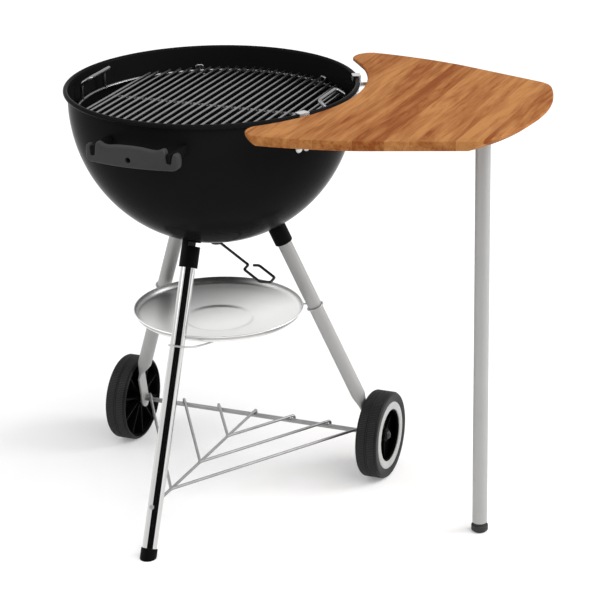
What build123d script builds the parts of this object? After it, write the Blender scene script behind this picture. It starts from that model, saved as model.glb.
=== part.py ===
"""Charcoal kettle grill on three legs and two wheels, with a wooden side table."""

import os
from math import acos, asin, atan, cos, degrees, radians, sin, sqrt

from build123d import *

os.makedirs("parts", exist_ok=True)

# Bowl: a round skirt under a rolled rim, closed below by half an ellipsoid
RIM_HEIGHT = 713.0
BEAD_DIAMETER = 8.2
BOWL_RADIUS = 232.5
BOWL_SKIRT = 22.0
BOWL_DEPTH = 238.5
BOWL_WALL = 1.2
ASH_HOLES = 3
ASH_HOLE_AZIMUTH = -30.0
ASH_HOLE_RADIUS = 52.0
ASH_HOLE_LENGTH = 46.0
ASH_HOLE_WIDTH = 24.0

# Clearances shared by every seat
WELD_GAP = 0.1
SEAT_GAP = 0.1
RUNNING_GAP = 0.05
REST_GAP = 0.3

# Legs: three tubes on one cone about the bowl's axis
LEG_FOOT_RADIUS = 298.4
LEG_SOCKET_RADIUS = 111.78
LEG_DIAMETER = 24.0
LEG_WALL = 1.2
FRONT_AZIMUTH = -90.0
RIGHT_AZIMUTH = 30.0
LEFT_AZIMUTH = 150.0
SOCKET_DIAMETER = 30.5
SOCKET_BELOW_BOWL = 18.5
SOCKET_BORE_DEPTH = 28.0
SOCKET_SLOT = 7.0
SOCKET_SLOT_BELOW_BOWL = 10.0
FOOT_CAP_DIAMETER = 27.0
FOOT_CAP_LENGTH = 16.0
FOOT_CAP_FLOOR = 9.0

# Rear legs: pressed flat above the axle, then bent upright beside the wheel
KNEE_ABOVE_AXLE = 47.0
FLAT_ABOVE_KNEE = 4.0
PRESS_HEIGHT = 28.0
FLAT_WIDTH = 24.0
FLAT_THICKNESS = 4.0
FLAT_END_BELOW_AXLE = 15.0

# Axle and wheels
WHEEL_RADIUS = 75.0
WHEEL_WIDTH = 38.0
WHEEL_SPACE = 2.5
AXLE_DIAMETER = 8.0
TYRE_INNER_RADIUS = 69.5
TYRE_SHOULDER = 4.5
TYRE_GROOVE_WIDTH = 2.0
TYRE_GROOVE_DEPTH = 1.2
RIM_BARREL = 3.0
RIM_FLANGE = 3.0
RIM_INSET = 3.5
RIM_WEB = 4.0
HUB_RADIUS = 12.0
HUB_OUTER_INSET = 8.0
INNER_RIBS = 10
OUTER_RIBS = 6
RIB_THICKNESS = 3.0
OUTER_RIB_HEIGHT = 7.0
TRIM_OUTER_RADIUS = 60.2
TRIM_INNER_RADIUS = 43.0
TRIM_THICKNESS = 3.2
AXLE_CAP_RADIUS = 7.5
AXLE_CAP_SKIRT = 3.0
AXLE_CAP_DOME = 4.0
WASHER_INSET = 1.0

# Bottom rack: nested bent wires on a spine, hooked over the axle
RACK_WIRE = 5.0
RACK_CHEVRONS = 3
RACK_SIDE_SPACE = 10.5
RACK_PITCH_Y = 113.0
RACK_OVERHANG = 8.5
RACK_HOOK = 8.0
RACK_BEND = 4.0
RACK_SCREW_HEAD = 8.0
RACK_SCREW_SHANK = 4.0
RACK_SCREW_HEAD_HEIGHT = 2.5

# Ash pan on three wire clips
PAN_RADIUS = 141.8
PAN_LEG_GAP = 3.689
PAN_LIP = 10.0
PAN_LIP_FLARE = 5.0
PAN_SHELL = 1.2
PAN_SEAT_INSET = 16.8
PAN_SEAT_DROP = 14.2
PAN_WELL_RADIUS = 58.0
PAN_WELL_DROP = 22.0
PAN_WELL_STEP = 3.0
CLIP_WIRE = 3.0
CLIP_RING_DROP = 11.5
CLIP_TURN = 20.0

# Bowl handles, one at the front and one at the back
HANDLE_AZIMUTHS = {"front": -92.0, "rear": 88.0}
GRIP_REACH = 48.5
GRIP_THICKNESS = 14.0
GRIP_BELOW_RIM = 29.0
GRIP_HEIGHT = 30.5
GRIP_CROWN = 2.5
GRIP_HORN = 6.3
GRIP_HALF_WIDTH = 81.0
GRIP_END_ROUND = 11.0
GRIP_TAB = 10.5
GRIP_TAB_DROP = 3.0
GRIP_NOTCH = 10.0
GRIP_NOTCH_DEPTH = 19.0
GRIP_NOTCH_ROUND = 1.3
GRIP_HORN_ROUND = 3.0
GRIP_SADDLE_ROUND = 12.0
GRIP_HOLE = 8.0
STRAP_THICKNESS = 4.0
STRAP_HEIGHT = 18.0
ARM_WIDTH = 7.0
ARM_HEIGHT = 15.0
GRIP_SCREW_HEAD = 7.4
GRIP_SCREW_SHANK = 4.0
GRIP_SCREW_HEAD_HEIGHT = 3.0

# Cooking grate
GRATE_BELOW_RIM = 39.5
GRATE_WALL_GAP = 12.3
GRATE_RING_WIRE = 6.0
GRATE_BAR = 4.5
GRATE_SIDE_SPACE = 42.0
GRATE_PITCH = 14.5
GRATE_EDGE_GAP = 9.7
GRATE_ROD = 6.0
GRATE_HANDLE_HALF = 40.0
GRATE_HANDLE_TOP_HALF = 35.0
GRATE_HANDLE_KNEE = 28.5
GRATE_HANDLE_RISE = 38.0
GRATE_HANDLE_LEAN = 14.0
GRATE_HANDLE_BEND = 7.0
SUPPORT_AZIMUTHS = (60.0, 120.0, 240.0, 300.0)
SUPPORT_WIRE = 4.0
SUPPORT_HALF = 6.0
SUPPORT_RISE = 7.5
SUPPORT_REACH = 15.0
SUPPORT_BEND = 3.0
SUPPORT_WALL_GAP = 0.5

# Charcoal grate
COAL_ABOVE_BOTTOM = 89.7
COAL_INSET = 63.3
COAL_WIRE = 6.0
COAL_PITCH = 21.0
COAL_ROD_Y = 75.0
COAL_TAB_WIDTH = 22.0
COAL_TAB_THICKNESS = 3.0
COAL_TAB_OVERLAP = 10.0

# Ash sweep
SWEEP_AZIMUTH = -30.0
SWEEP_SHAFT = 10.0
SWEEP_BOSS = 18.0
SWEEP_BOSS_HEIGHT = 13.5
SWEEP_SHAFT_ABOVE = 17.0
SWEEP_BLADES = 3
SWEEP_OPEN_TURN = 40.0
SWEEP_BLADE_REACH = 92.0
SWEEP_BLADE_ROOT = 20.0
SWEEP_BLADE_TIP = 34.0
SWEEP_BLADE_LIFT = 1.0
SWEEP_BLADE_SHEET = 1.5
SWEEP_HUB_RADIUS = 15.0
SWEEP_NUT_ACROSS = 17.0
SWEEP_NUT_HEIGHT = 8.0
SWEEP_WIRE = 4.5
SWEEP_WIRE_RISE = 5.5
SWEEP_TILT = 0.22
SWEEP_NECK = 88.0
SWEEP_LOOP_END = 148.0
SWEEP_LOOP_HALF = 15.0
SWEEP_WIRE_DEPTH = 5.0
SWEEP_WIRE_BEND = 5.0

# Side table
TABLE_ABOVE_RIM = 2.0
TABLE_THICKNESS = 16.0
TABLE_RIM_GAP = 8.9
TABLE_LENGTH = 308.6
TABLE_HALF_WIDTH = 253.0
TABLE_TIP_WRAP = 84.4
TABLE_TIP_DEPTH = 46.0
TABLE_TIP_SHOULDER = 15.0
TABLE_TIP_ROUND = 20.0
TABLE_BOW_REACH = 13.6
TABLE_BOW_DROP = 7.5
TABLE_KNEE_REACH = 96.6
TABLE_KNEE_DROP = 26.0
TABLE_CORNER_INSET = 40.0
TABLE_CORNER_DROP = 87.0
TABLE_CORNER_RADIUS = 46.0
TABLE_EASE = 2.0
TABLE_LAND = 4.0
TABLE_TIP_BEVEL = 24.0
TABLE_NEAR_BEVEL = 11.0
TABLE_END_BEVEL = 16.0
TABLE_LEG_INSET = 90.0
TABLE_LEG_Y = -17.0
TABLE_LEG_DIAMETER = 24.0
TABLE_LEG_WALL = 1.2
LEG_PLATE_SIZE = 70.0
LEG_PLATE_THICKNESS = 3.0
LEG_PLATE_SPIGOT = 30.0
GLIDE_DIAMETER = 27.5
GLIDE_HEIGHT = 12.0
GLIDE_FOOT_DIAMETER = 21.0
GLIDE_FOOT_HEIGHT = 3.0
GLIDE_SPIGOT = 18.0
WOOD_SCREW_SHANK = 4.0
WOOD_SCREW_HEAD = 8.0
WOOD_SCREW_HEAD_HEIGHT = 2.4
WOOD_SCREW_LENGTH = 12.0

# Clips that hook the table over the rim
CLIP_AZIMUTHS = {"front": -29.0, "rear": 29.0}
CLIP_WIDTH = 18.0
CLIP_SHEET = 2.0
CLIP_LIP = 8.0
CLIP_LIP_SPACE = 0.6
CLIP_END_MARGIN = 5.5
CLIP_BEND_GAP = 0.8
CLIP_BEND_RUN = 5.0
CLIP_WALL_GAP = 0.6
CLIP_ARM_REACH = 85.0
CLIP_SCREW_SPACING = 26.0
BOLT_SHANK = 6.0
BOLT_HOLE = 6.4
BOLT_HEAD = 11.0
BOLT_HEAD_HEIGHT = 4.5
BOLT_INNER_HEAD = 8.0
BOLT_INNER_HEIGHT = 2.5
BOLT_LOW_DROP = 55.5
BOLT_HIGH_DROP = 26.0
BOLT_HALF_SPACING = 7.5

# Places worked out from the driving sizes
SKIRT_Z = RIM_HEIGHT - BOWL_SKIRT
BOWL_BOTTOM = SKIRT_Z - BOWL_DEPTH
BOWL_INSIDE = BOWL_RADIUS - BOWL_WALL
BOWL_DEPTH_INSIDE = BOWL_DEPTH - BOWL_WALL
RIM_RADIUS = BOWL_INSIDE + BEAD_DIAMETER
SOCKET_LOW_HEIGHT = BOWL_BOTTOM - SOCKET_BELOW_BOWL
LEG_SLOPE = (LEG_FOOT_RADIUS - LEG_SOCKET_RADIUS) / SOCKET_LOW_HEIGHT
LEG_TILT = atan(LEG_SLOPE)
AXLE_Z = WHEEL_RADIUS
KNEE_HEIGHT = AXLE_Z + KNEE_ABOVE_AXLE
FLAT_HEIGHT = KNEE_HEIGHT + FLAT_ABOVE_KNEE
FLAT_START_HEIGHT = FLAT_HEIGHT + PRESS_HEIGHT
PAN_RIM_HEIGHT = (LEG_FOOT_RADIUS - LEG_DIAMETER / 2 - PAN_LEG_GAP - PAN_RADIUS) / LEG_SLOPE
PAN_SEAT_RADIUS = PAN_RADIUS - PAN_SEAT_INSET
GRIP_RADIUS = RIM_RADIUS + GRIP_REACH
GRIP_TOP = RIM_HEIGHT - GRIP_BELOW_RIM
GRIP_BOTTOM = GRIP_TOP - GRIP_HEIGHT
GRIP_TAB_TOP = GRIP_TOP - GRIP_TAB_DROP
GRIP_NOTCH_FLOOR = GRIP_TOP - GRIP_NOTCH_DEPTH
GRATE_HEIGHT = RIM_HEIGHT - GRATE_BELOW_RIM
GRATE_RADIUS = BOWL_INSIDE - GRATE_WALL_GAP
COAL_HEIGHT = BOWL_BOTTOM + COAL_ABOVE_BOTTOM
COAL_RADIUS = BOWL_INSIDE - COAL_INSET
GRATE_BARS = 2 * int((GRATE_RADIUS - GRATE_SIDE_SPACE) / GRATE_PITCH)
COAL_BARS = 2 * int((COAL_RADIUS - COAL_WIRE) / COAL_PITCH) + 1
COAL_TAB_INNER = COAL_RADIUS - COAL_TAB_OVERLAP
AXLE_Y = (LEG_FOOT_RADIUS - LEG_SLOPE * AXLE_Z) * sin(radians(RIGHT_AZIMUTH))
FLAT_X = (LEG_FOOT_RADIUS - LEG_SLOPE * KNEE_HEIGHT) * cos(radians(RIGHT_AZIMUTH))
RACK_PITCH_X = (FLAT_X - RACK_SIDE_SPACE) / RACK_CHEVRONS
WHEEL_X = FLAT_X + FLAT_THICKNESS / 2 + WHEEL_SPACE + WHEEL_WIDTH / 2
TABLE_TOP = RIM_HEIGHT + TABLE_ABOVE_RIM
TABLE_UNDER = TABLE_TOP - TABLE_THICKNESS
TABLE_NEAR_X = RIM_RADIUS + TABLE_RIM_GAP
TABLE_END_X = TABLE_NEAR_X + TABLE_LENGTH
TABLE_TIP_X = TABLE_NEAR_X - TABLE_TIP_WRAP
TABLE_TIP_INNER = (TABLE_TIP_X, TABLE_HALF_WIDTH - TABLE_TIP_DEPTH)
TABLE_TIP_MIDDLE = (TABLE_TIP_X, TABLE_HALF_WIDTH - TABLE_TIP_SHOULDER)
TABLE_TIP_OUTER = (TABLE_TIP_X + TABLE_TIP_ROUND, TABLE_HALF_WIDTH)
TABLE_SIDE_MIDDLE = (TABLE_NEAR_X + TABLE_BOW_REACH, TABLE_HALF_WIDTH - TABLE_BOW_DROP)
TABLE_SIDE_KNEE = (TABLE_NEAR_X + TABLE_KNEE_REACH, TABLE_HALF_WIDTH - TABLE_KNEE_DROP)
TABLE_CORNER = (TABLE_END_X - TABLE_CORNER_INSET, TABLE_HALF_WIDTH - TABLE_CORNER_DROP)
TABLE_LEG_X = TABLE_END_X - TABLE_LEG_INSET
TABLE_LAND_LOW = TABLE_TOP - TABLE_LAND
TABLE_NEAR_CURVE = (TABLE_TIP_INNER[1] ** 2 + TABLE_TIP_WRAP**2) / (2 * TABLE_TIP_WRAP)
TABLE_END_CURVE = (TABLE_CORNER[1] ** 2 + TABLE_CORNER_INSET**2) / (2 * TABLE_CORNER_INSET)
BOLT_LOW_HEIGHT = RIM_HEIGHT - BOLT_LOW_DROP
BOLT_HIGH_HEIGHT = RIM_HEIGHT - BOLT_HIGH_DROP
CLIP_LOW = BOLT_LOW_HEIGHT - CLIP_END_MARGIN
CLIP_BEND_TOP = RIM_HEIGHT - BEAD_DIAMETER - CLIP_BEND_GAP
CLIP_BEND_LOW = CLIP_BEND_TOP - CLIP_BEND_RUN
CLIP_ARM_END = RIM_RADIUS + CLIP_ARM_REACH
BOLT_PLACES = (
    (-BOLT_HALF_SPACING, BOLT_LOW_HEIGHT),
    (BOLT_HALF_SPACING, BOLT_LOW_HEIGHT),
    (0, BOLT_HIGH_HEIGHT),
)
FOOT_REACH = LEG_FOOT_RADIUS + FOOT_CAP_DIAMETER / 2 / cos(LEG_TILT)
MIDDLE_X = (TABLE_END_X - WHEEL_X - WHEEL_WIDTH / 2) / 2
MIDDLE_Y = (GRIP_RADIUS - FOOT_REACH) / 2
TO_ORIGIN = Location((-MIDDLE_X, -MIDDLE_Y, 0))


def save(piece, label):
    """Move a finished piece from the bowl's axis to the middle of the whole object and write it."""
    placed = piece.part.moved(TO_ORIGIN)
    placed.label = label
    export_step(placed, f"parts/{label}.step")


def polar(radius, azimuth, height):
    """A point at a radius and azimuth about the bowl's axis."""
    return Vector(radius * cos(radians(azimuth)), radius * sin(radians(azimuth)), height)


def upright(azimuth, radius):
    """A plane that faces out from the bowl's axis, with its own x sideways and its own y up."""
    out = polar(1, azimuth, 0)
    return Plane(origin=polar(radius, azimuth, 0), x_dir=polar(1, azimuth + 90, 0), z_dir=out)


def leg_plane(azimuth, height):
    """A plane square across a leg where its axis is at a height, with its own z up the leg."""
    out = polar(1, azimuth, 0)
    up = Vector(0, 0, cos(LEG_TILT)) - out * sin(LEG_TILT)
    at = polar(LEG_FOOT_RADIUS - LEG_SLOPE * height, azimuth, height)
    return Plane(origin=at, x_dir=polar(1, azimuth + 90, 0), z_dir=up)


def along_leg(low, high):
    """Distance along a leg's axis between two heights."""
    return (high - low) / cos(LEG_TILT)


def wheel_section(side):
    """Plane through a wheel's axis: its own x points away from the bowl, its own y along the radius."""
    return Plane(origin=(side * WHEEL_X, AXLE_Y, AXLE_Z), x_dir=(side, 0, 0), z_dir=(0, 0, side))


def wheel_axis(side):
    """The axle's line at one wheel, pointing away from the bowl."""
    return Axis((side * WHEEL_X, AXLE_Y, AXLE_Z), (side, 0, 0))


def bowl_curve(radius, depth):
    """Quarter ellipse from the bowl's lowest point up to the skirt, drawn about its longer axis."""
    if depth > radius:
        return EllipticalCenterArc((0, SKIRT_Z), depth, radius, start_angle=0, arc_size=90, rotation=270)
    return EllipticalCenterArc((0, SKIRT_Z), radius, depth, start_angle=270, arc_size=90)


def bowl_rise(radius, depth, reach):
    """Height of a bowl's curve over its lowest point at a distance from the axis."""
    return depth - depth * sqrt(1 - (reach / radius) ** 2)


def bowl_envelope(radius, depth):
    """Solid that fills a bowl of the given wall radius and depth up to the rim's height."""
    with BuildPart() as envelope:
        with BuildSketch(Plane.XZ):
            with BuildLine():
                curve = bowl_curve(radius, depth)
                Polyline(curve @ 1, (radius, RIM_HEIGHT), (0, RIM_HEIGHT), curve @ 0)
            make_face()
        revolve(axis=Axis.Z)
    return envelope.part


def bent_wire(points, diameter, bend):
    """Round wire along straight runs joined by bends of one radius."""
    with BuildPart() as wire:
        with BuildLine() as path:
            FilletPolyline(*points, radius=bend)
        with BuildSketch(Plane(origin=path.line @ 0, z_dir=path.line % 0)):
            Circle(diameter / 2)
        sweep()
    return wire.part


def straight_wire(start, end, diameter):
    """Round wire from one point to another."""
    run = Vector(*end) - Vector(*start)
    with BuildPart() as wire:
        with BuildSketch(Plane(origin=start, z_dir=run)):
            Circle(diameter / 2)
        extrude(amount=run.length)
    return wire.part


def headed_pin(plane, shank, shank_length, head, head_height, tail=0.0, tail_height=0.0):
    """Pin along a plane's z: a domed head above it, a shank below it and, if asked for, a low tail head."""
    with BuildPart() as pin:
        with BuildSketch(plane):
            Circle(head / 2)
        extrude(amount=head_height)
        fillet(pin.edges().group_by(Axis(plane.origin, plane.z_dir))[-1], head_height * 0.7)
        with BuildSketch(plane):
            Circle(shank / 2)
        extrude(amount=-shank_length)
        if tail:
            with BuildSketch(plane.offset(-shank_length)):
                Circle(tail / 2)
            extrude(amount=tail_height)
    return pin.part


def undercut(edge, back, inset):
    """Face beside a board's edge: straight below the land, then cut back to an inset at the underside."""
    with BuildSketch() as face:
        with BuildLine():
            Polyline(
                (back, TABLE_LAND_LOW),
                (edge, TABLE_LAND_LOW),
                (inset, TABLE_UNDER),
                (inset, TABLE_UNDER - TABLE_LAND),
                (back, TABLE_UNDER - TABLE_LAND),
                close=True,
            )
        make_face()
    return face.sketch


# Bowl
with BuildPart() as bowl:
    with BuildSketch(Plane.XZ):
        with BuildLine():
            outside = bowl_curve(BOWL_RADIUS, BOWL_DEPTH)
            inside = bowl_curve(BOWL_INSIDE, BOWL_DEPTH_INSIDE)
            wall_top = RIM_HEIGHT - BEAD_DIAMETER / 2
            Polyline(outside @ 1, (BOWL_RADIUS, wall_top), (BOWL_INSIDE, wall_top), inside @ 1)
            Line(inside @ 0, outside @ 0)
        make_face()
        with Locations((BOWL_INSIDE + BEAD_DIAMETER / 2, RIM_HEIGHT - BEAD_DIAMETER / 2)):
            Circle(BEAD_DIAMETER / 2)
    revolve(axis=Axis.Z)
    with BuildSketch(Plane.XY.offset(BOWL_BOTTOM)):
        Circle(SWEEP_SHAFT / 2 + RUNNING_GAP)
        with PolarLocations(ASH_HOLE_RADIUS, ASH_HOLES, start_angle=ASH_HOLE_AZIMUTH):
            SlotOverall(ASH_HOLE_LENGTH, ASH_HOLE_WIDTH)
    extrude(amount=BOWL_SKIRT, both=True, mode=Mode.SUBTRACT)
    for azimuth in CLIP_AZIMUTHS.values():
        with BuildSketch(upright(azimuth, BOWL_RADIUS)):
            with Locations(*BOLT_PLACES):
                Circle(BOLT_HOLE / 2)
        extrude(amount=BOLT_SHANK, both=True, mode=Mode.SUBTRACT)
save(bowl, "bowl")

bowl_outer_space = bowl_envelope(BOWL_RADIUS + WELD_GAP, BOWL_DEPTH + WELD_GAP)
bowl_inner_space = bowl_envelope(BOWL_INSIDE - WELD_GAP, BOWL_DEPTH_INSIDE - WELD_GAP)

# Leg sockets, trimmed to the bowl's underside and slotted on one side
LEG_AZIMUTHS = {"front": FRONT_AZIMUTH, "right_rear": RIGHT_AZIMUTH, "left_rear": LEFT_AZIMUTH}
LEG_REACH_AT_BOWL = LEG_FOOT_RADIUS - LEG_SLOPE * SKIRT_Z * 2 / 3
AXIS_AT_BOWL = BOWL_BOTTOM + bowl_rise(BOWL_RADIUS, BOWL_DEPTH, LEG_REACH_AT_BOWL)
for place, azimuth in LEG_AZIMUTHS.items():
    with BuildPart() as socket:
        with BuildSketch(leg_plane(azimuth, SOCKET_LOW_HEIGHT)):
            Circle(SOCKET_DIAMETER / 2)
        extrude(amount=along_leg(SOCKET_LOW_HEIGHT, SKIRT_Z) / 3)
        with BuildSketch(leg_plane(azimuth, SOCKET_LOW_HEIGHT)):
            Circle(LEG_DIAMETER / 2 + SEAT_GAP)
        extrude(amount=SOCKET_BORE_DEPTH, mode=Mode.SUBTRACT)
        with BuildSketch(leg_plane(azimuth, AXIS_AT_BOWL - SOCKET_SLOT_BELOW_BOWL)):
            with Locations((SOCKET_DIAMETER / 2 + LEG_WALL, 0)):
                Rectangle(SOCKET_DIAMETER, SOCKET_DIAMETER * 2)
        extrude(amount=SOCKET_SLOT, mode=Mode.SUBTRACT)
        add(bowl_outer_space, mode=Mode.SUBTRACT)
    save(socket, f"{place}_leg_socket")

# Front leg, drilled for the rack's spine and its screw
RACK_Z = AXLE_Z + AXLE_DIAMETER / 2 + RACK_WIRE / 2
LEG_TUBE_TOP = SOCKET_LOW_HEIGHT + (SOCKET_BORE_DEPTH - SEAT_GAP) * cos(LEG_TILT)
RACK_LEG_Y = -(LEG_FOOT_RADIUS - LEG_SLOPE * RACK_Z)
with BuildPart() as front_leg:
    with BuildSketch(leg_plane(FRONT_AZIMUTH, FOOT_CAP_FLOOR)):
        Circle(LEG_DIAMETER / 2)
        Circle(LEG_DIAMETER / 2 - LEG_WALL, mode=Mode.SUBTRACT)
    extrude(amount=along_leg(FOOT_CAP_FLOOR, LEG_TUBE_TOP))
    with BuildSketch(Plane(origin=(0, RACK_LEG_Y, RACK_Z), z_dir=(0, 1, 0))):
        Circle(RACK_WIRE / 2 + SEAT_GAP)
    extrude(amount=LEG_DIAMETER, mode=Mode.SUBTRACT)
    with BuildSketch(Plane(origin=(0, RACK_LEG_Y, RACK_Z), z_dir=(0, -1, 0))):
        Circle(RACK_SCREW_SHANK / 2 + SEAT_GAP)
    extrude(amount=LEG_DIAMETER, mode=Mode.SUBTRACT)
save(front_leg, "front_leg")

# Foot cap, cut flat on the floor
with BuildPart() as foot_cap:
    with BuildSketch(leg_plane(FRONT_AZIMUTH, 0)):
        Circle(FOOT_CAP_DIAMETER / 2)
    extrude(amount=FOOT_CAP_LENGTH)
    with BuildSketch(leg_plane(FRONT_AZIMUTH, 0)):
        Circle(FOOT_CAP_DIAMETER / 2)
    extrude(amount=-FOOT_CAP_DIAMETER / 2)
    with BuildSketch(leg_plane(FRONT_AZIMUTH, FOOT_CAP_FLOOR - SEAT_GAP)):
        Circle(LEG_DIAMETER / 2 + SEAT_GAP)
    extrude(amount=FOOT_CAP_LENGTH, mode=Mode.SUBTRACT)
    split(bisect_by=Plane.XY, keep=Keep.TOP)
save(foot_cap, "foot_cap")

# Rear legs: tube, pressed transition, then a flat strip bent upright and drilled for the axle
for side, azimuth in ((1, RIGHT_AZIMUTH), (-1, LEFT_AZIMUTH)):
    axle_way = Vector(1, 0, 0)
    slant = leg_plane(azimuth, FLAT_HEIGHT)
    slant_width = slant.z_dir.cross(axle_way).normalized()
    strip_low = AXLE_Z - FLAT_END_BELOW_AXLE
    strip_y = (LEG_FOOT_RADIUS - LEG_SLOPE * strip_low) * sin(radians(azimuth))
    strip_end = Vector(side * FLAT_X, strip_y, strip_low)
    knee = polar(LEG_FOOT_RADIUS - LEG_SLOPE * KNEE_HEIGHT, azimuth, KNEE_HEIGHT)
    strip_up = (knee - strip_end).normalized()
    strip_width = strip_up.cross(axle_way).normalized()
    knee_up = (strip_up + slant.z_dir).normalized()
    flat_top = Plane(origin=slant.origin, x_dir=slant_width, z_dir=slant.z_dir)
    flat_knee = Plane(origin=knee, x_dir=knee_up.cross(axle_way).normalized(), z_dir=knee_up)
    flat_end = Plane(origin=strip_end, x_dir=strip_width, z_dir=strip_up)
    with BuildPart() as rear_leg:
        with BuildSketch(leg_plane(azimuth, FLAT_START_HEIGHT)):
            Circle(LEG_DIAMETER / 2)
            Circle(LEG_DIAMETER / 2 - LEG_WALL, mode=Mode.SUBTRACT)
        extrude(amount=along_leg(FLAT_START_HEIGHT, LEG_TUBE_TOP))
        with BuildSketch(leg_plane(azimuth, FLAT_START_HEIGHT)):
            Circle(LEG_DIAMETER / 2)
        with BuildSketch(flat_top):
            Rectangle(FLAT_WIDTH, FLAT_THICKNESS)
        loft()
        with BuildSketch(flat_top):
            Rectangle(FLAT_WIDTH, FLAT_THICKNESS)
        with BuildSketch(flat_knee):
            Rectangle(FLAT_WIDTH, FLAT_THICKNESS)
        with BuildSketch(flat_end):
            Rectangle(FLAT_WIDTH, FLAT_THICKNESS)
        loft(ruled=True)
        with BuildSketch(Plane(origin=(side * FLAT_X, AXLE_Y, AXLE_Z), z_dir=(1, 0, 0))):
            Circle(AXLE_DIAMETER / 2 + SEAT_GAP)
        extrude(amount=FLAT_THICKNESS, both=True, mode=Mode.SUBTRACT)
    save(rear_leg, "right_rear_leg" if side > 0 else "left_rear_leg")

# Axle with its washers and end caps
HUB_OUTER = WHEEL_WIDTH / 2 - HUB_OUTER_INSET
CAP_FLOOR = HUB_OUTER + REST_GAP + AXLE_CAP_SKIRT
AXLE_HALF = WHEEL_X + CAP_FLOOR
with BuildPart() as axle:
    with BuildSketch(Plane(origin=(-AXLE_HALF, AXLE_Y, AXLE_Z), z_dir=(1, 0, 0))):
        Circle(AXLE_DIAMETER / 2)
    extrude(amount=2 * AXLE_HALF)
save(axle, "axle")

with BuildPart() as axle_washers:
    for side in (1, -1):
        washer_inner = side * (FLAT_X + FLAT_THICKNESS / 2 + SEAT_GAP)
        with BuildSketch(Plane(origin=(washer_inner, AXLE_Y, AXLE_Z), z_dir=(side, 0, 0))):
            Circle(HUB_RADIUS - WASHER_INSET)
            Circle(AXLE_DIAMETER / 2 + SEAT_GAP, mode=Mode.SUBTRACT)
        extrude(amount=WHEEL_SPACE - SEAT_GAP - REST_GAP)
save(axle_washers, "axle_washers")

for side, place in ((1, "right"), (-1, "left")):
    with BuildPart() as axle_cap:
        with BuildSketch(wheel_section(side)):
            with BuildLine():
                cap_start = HUB_OUTER + REST_GAP
                dome_start = cap_start + AXLE_CAP_SKIRT
                ball = (AXLE_CAP_RADIUS**2 + AXLE_CAP_DOME**2) / (2 * AXLE_CAP_DOME)
                ball_middle = dome_start + AXLE_CAP_DOME - ball
                half_angle = acos((dome_start - ball_middle) / ball) / 2
                dome = ThreePointArc(
                    (dome_start, AXLE_CAP_RADIUS),
                    (ball_middle + ball * cos(half_angle), ball * sin(half_angle)),
                    (dome_start + AXLE_CAP_DOME, 0),
                )
                bore = AXLE_DIAMETER / 2 + SEAT_GAP
                Polyline(
                    dome @ 1,
                    (dome_start + SEAT_GAP, 0),
                    (dome_start + SEAT_GAP, bore),
                    (cap_start, bore),
                    (cap_start, AXLE_CAP_RADIUS),
                    dome @ 0,
                )
            make_face()
        revolve(axis=wheel_axis(side))
    save(axle_cap, f"{place}_axle_cap")

# Wheels: tyre, ribbed rim and trim ring on each end of the axle
for side, place in ((1, "right"), (-1, "left")):
    with BuildPart() as tyre:
        with BuildSketch(wheel_section(side)) as tread:
            with Locations((0, (TYRE_INNER_RADIUS + WHEEL_RADIUS) / 2)):
                Rectangle(WHEEL_WIDTH, WHEEL_RADIUS - TYRE_INNER_RADIUS)
            fillet(tread.vertices().group_by(Axis.Y)[-1], TYRE_SHOULDER)
            with Locations((0, WHEEL_RADIUS)):
                Rectangle(TYRE_GROOVE_WIDTH, TYRE_GROOVE_DEPTH * 2, mode=Mode.SUBTRACT)
        revolve(axis=wheel_axis(side))
    save(tyre, f"{place}_tyre")

    barrel_outer = WHEEL_WIDTH / 2 - RIM_INSET
    barrel_radius = TYRE_INNER_RADIUS - SEAT_GAP
    with BuildPart() as wheel_rim:
        with BuildSketch(wheel_section(side)):
            with Locations((0, barrel_radius - RIM_BARREL / 2)):
                Rectangle(barrel_outer * 2, RIM_BARREL)
            with Locations((0, barrel_radius / 2)):
                Rectangle(RIM_WEB, barrel_radius - RIM_BARREL / 2)
            flange_middle = (TRIM_INNER_RADIUS + barrel_radius) / 2
            with Locations((barrel_outer - RIM_FLANGE / 2, flange_middle)):
                Rectangle(RIM_FLANGE, barrel_radius - TRIM_INNER_RADIUS)
            with Locations(((HUB_OUTER - WHEEL_WIDTH / 2) / 2, HUB_RADIUS / 2)):
                Rectangle(HUB_OUTER + WHEEL_WIDTH / 2, HUB_RADIUS)
            bore = AXLE_DIAMETER / 2 + RUNNING_GAP
            with Locations((0, bore / 2)):
                Rectangle(WHEEL_WIDTH * 2, bore, mode=Mode.SUBTRACT)
        revolve(axis=wheel_axis(side))
        rib_reach = barrel_radius - RIM_BARREL / 2 - HUB_RADIUS / 2 - bore
        rib_middle = HUB_RADIUS / 2 + bore + rib_reach / 2
        face = Plane(origin=(side * WHEEL_X, AXLE_Y, AXLE_Z), x_dir=(0, 0, 1), z_dir=(side, 0, 0))
        with BuildSketch(face):
            with PolarLocations(rib_middle, INNER_RIBS):
                Rectangle(rib_reach, RIB_THICKNESS)
        extrude(amount=-barrel_outer)
        with BuildSketch(face):
            with PolarLocations(rib_middle, OUTER_RIBS):
                Rectangle(rib_reach, RIB_THICKNESS)
        extrude(amount=OUTER_RIB_HEIGHT)
    save(wheel_rim, f"{place}_wheel_rim")

    with BuildPart() as trim_ring:
        with BuildSketch(wheel_section(side)):
            trim_middle = (TRIM_OUTER_RADIUS + TRIM_INNER_RADIUS) / 2
            with Locations((barrel_outer + SEAT_GAP + TRIM_THICKNESS / 2, trim_middle)):
                Rectangle(TRIM_THICKNESS, TRIM_OUTER_RADIUS - TRIM_INNER_RADIUS)
        revolve(axis=wheel_axis(side))
        fillet(trim_ring.edges().group_by(wheel_axis(side))[-1], TRIM_THICKNESS / 3)
    save(trim_ring, f"{place}_trim_ring")

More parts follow.
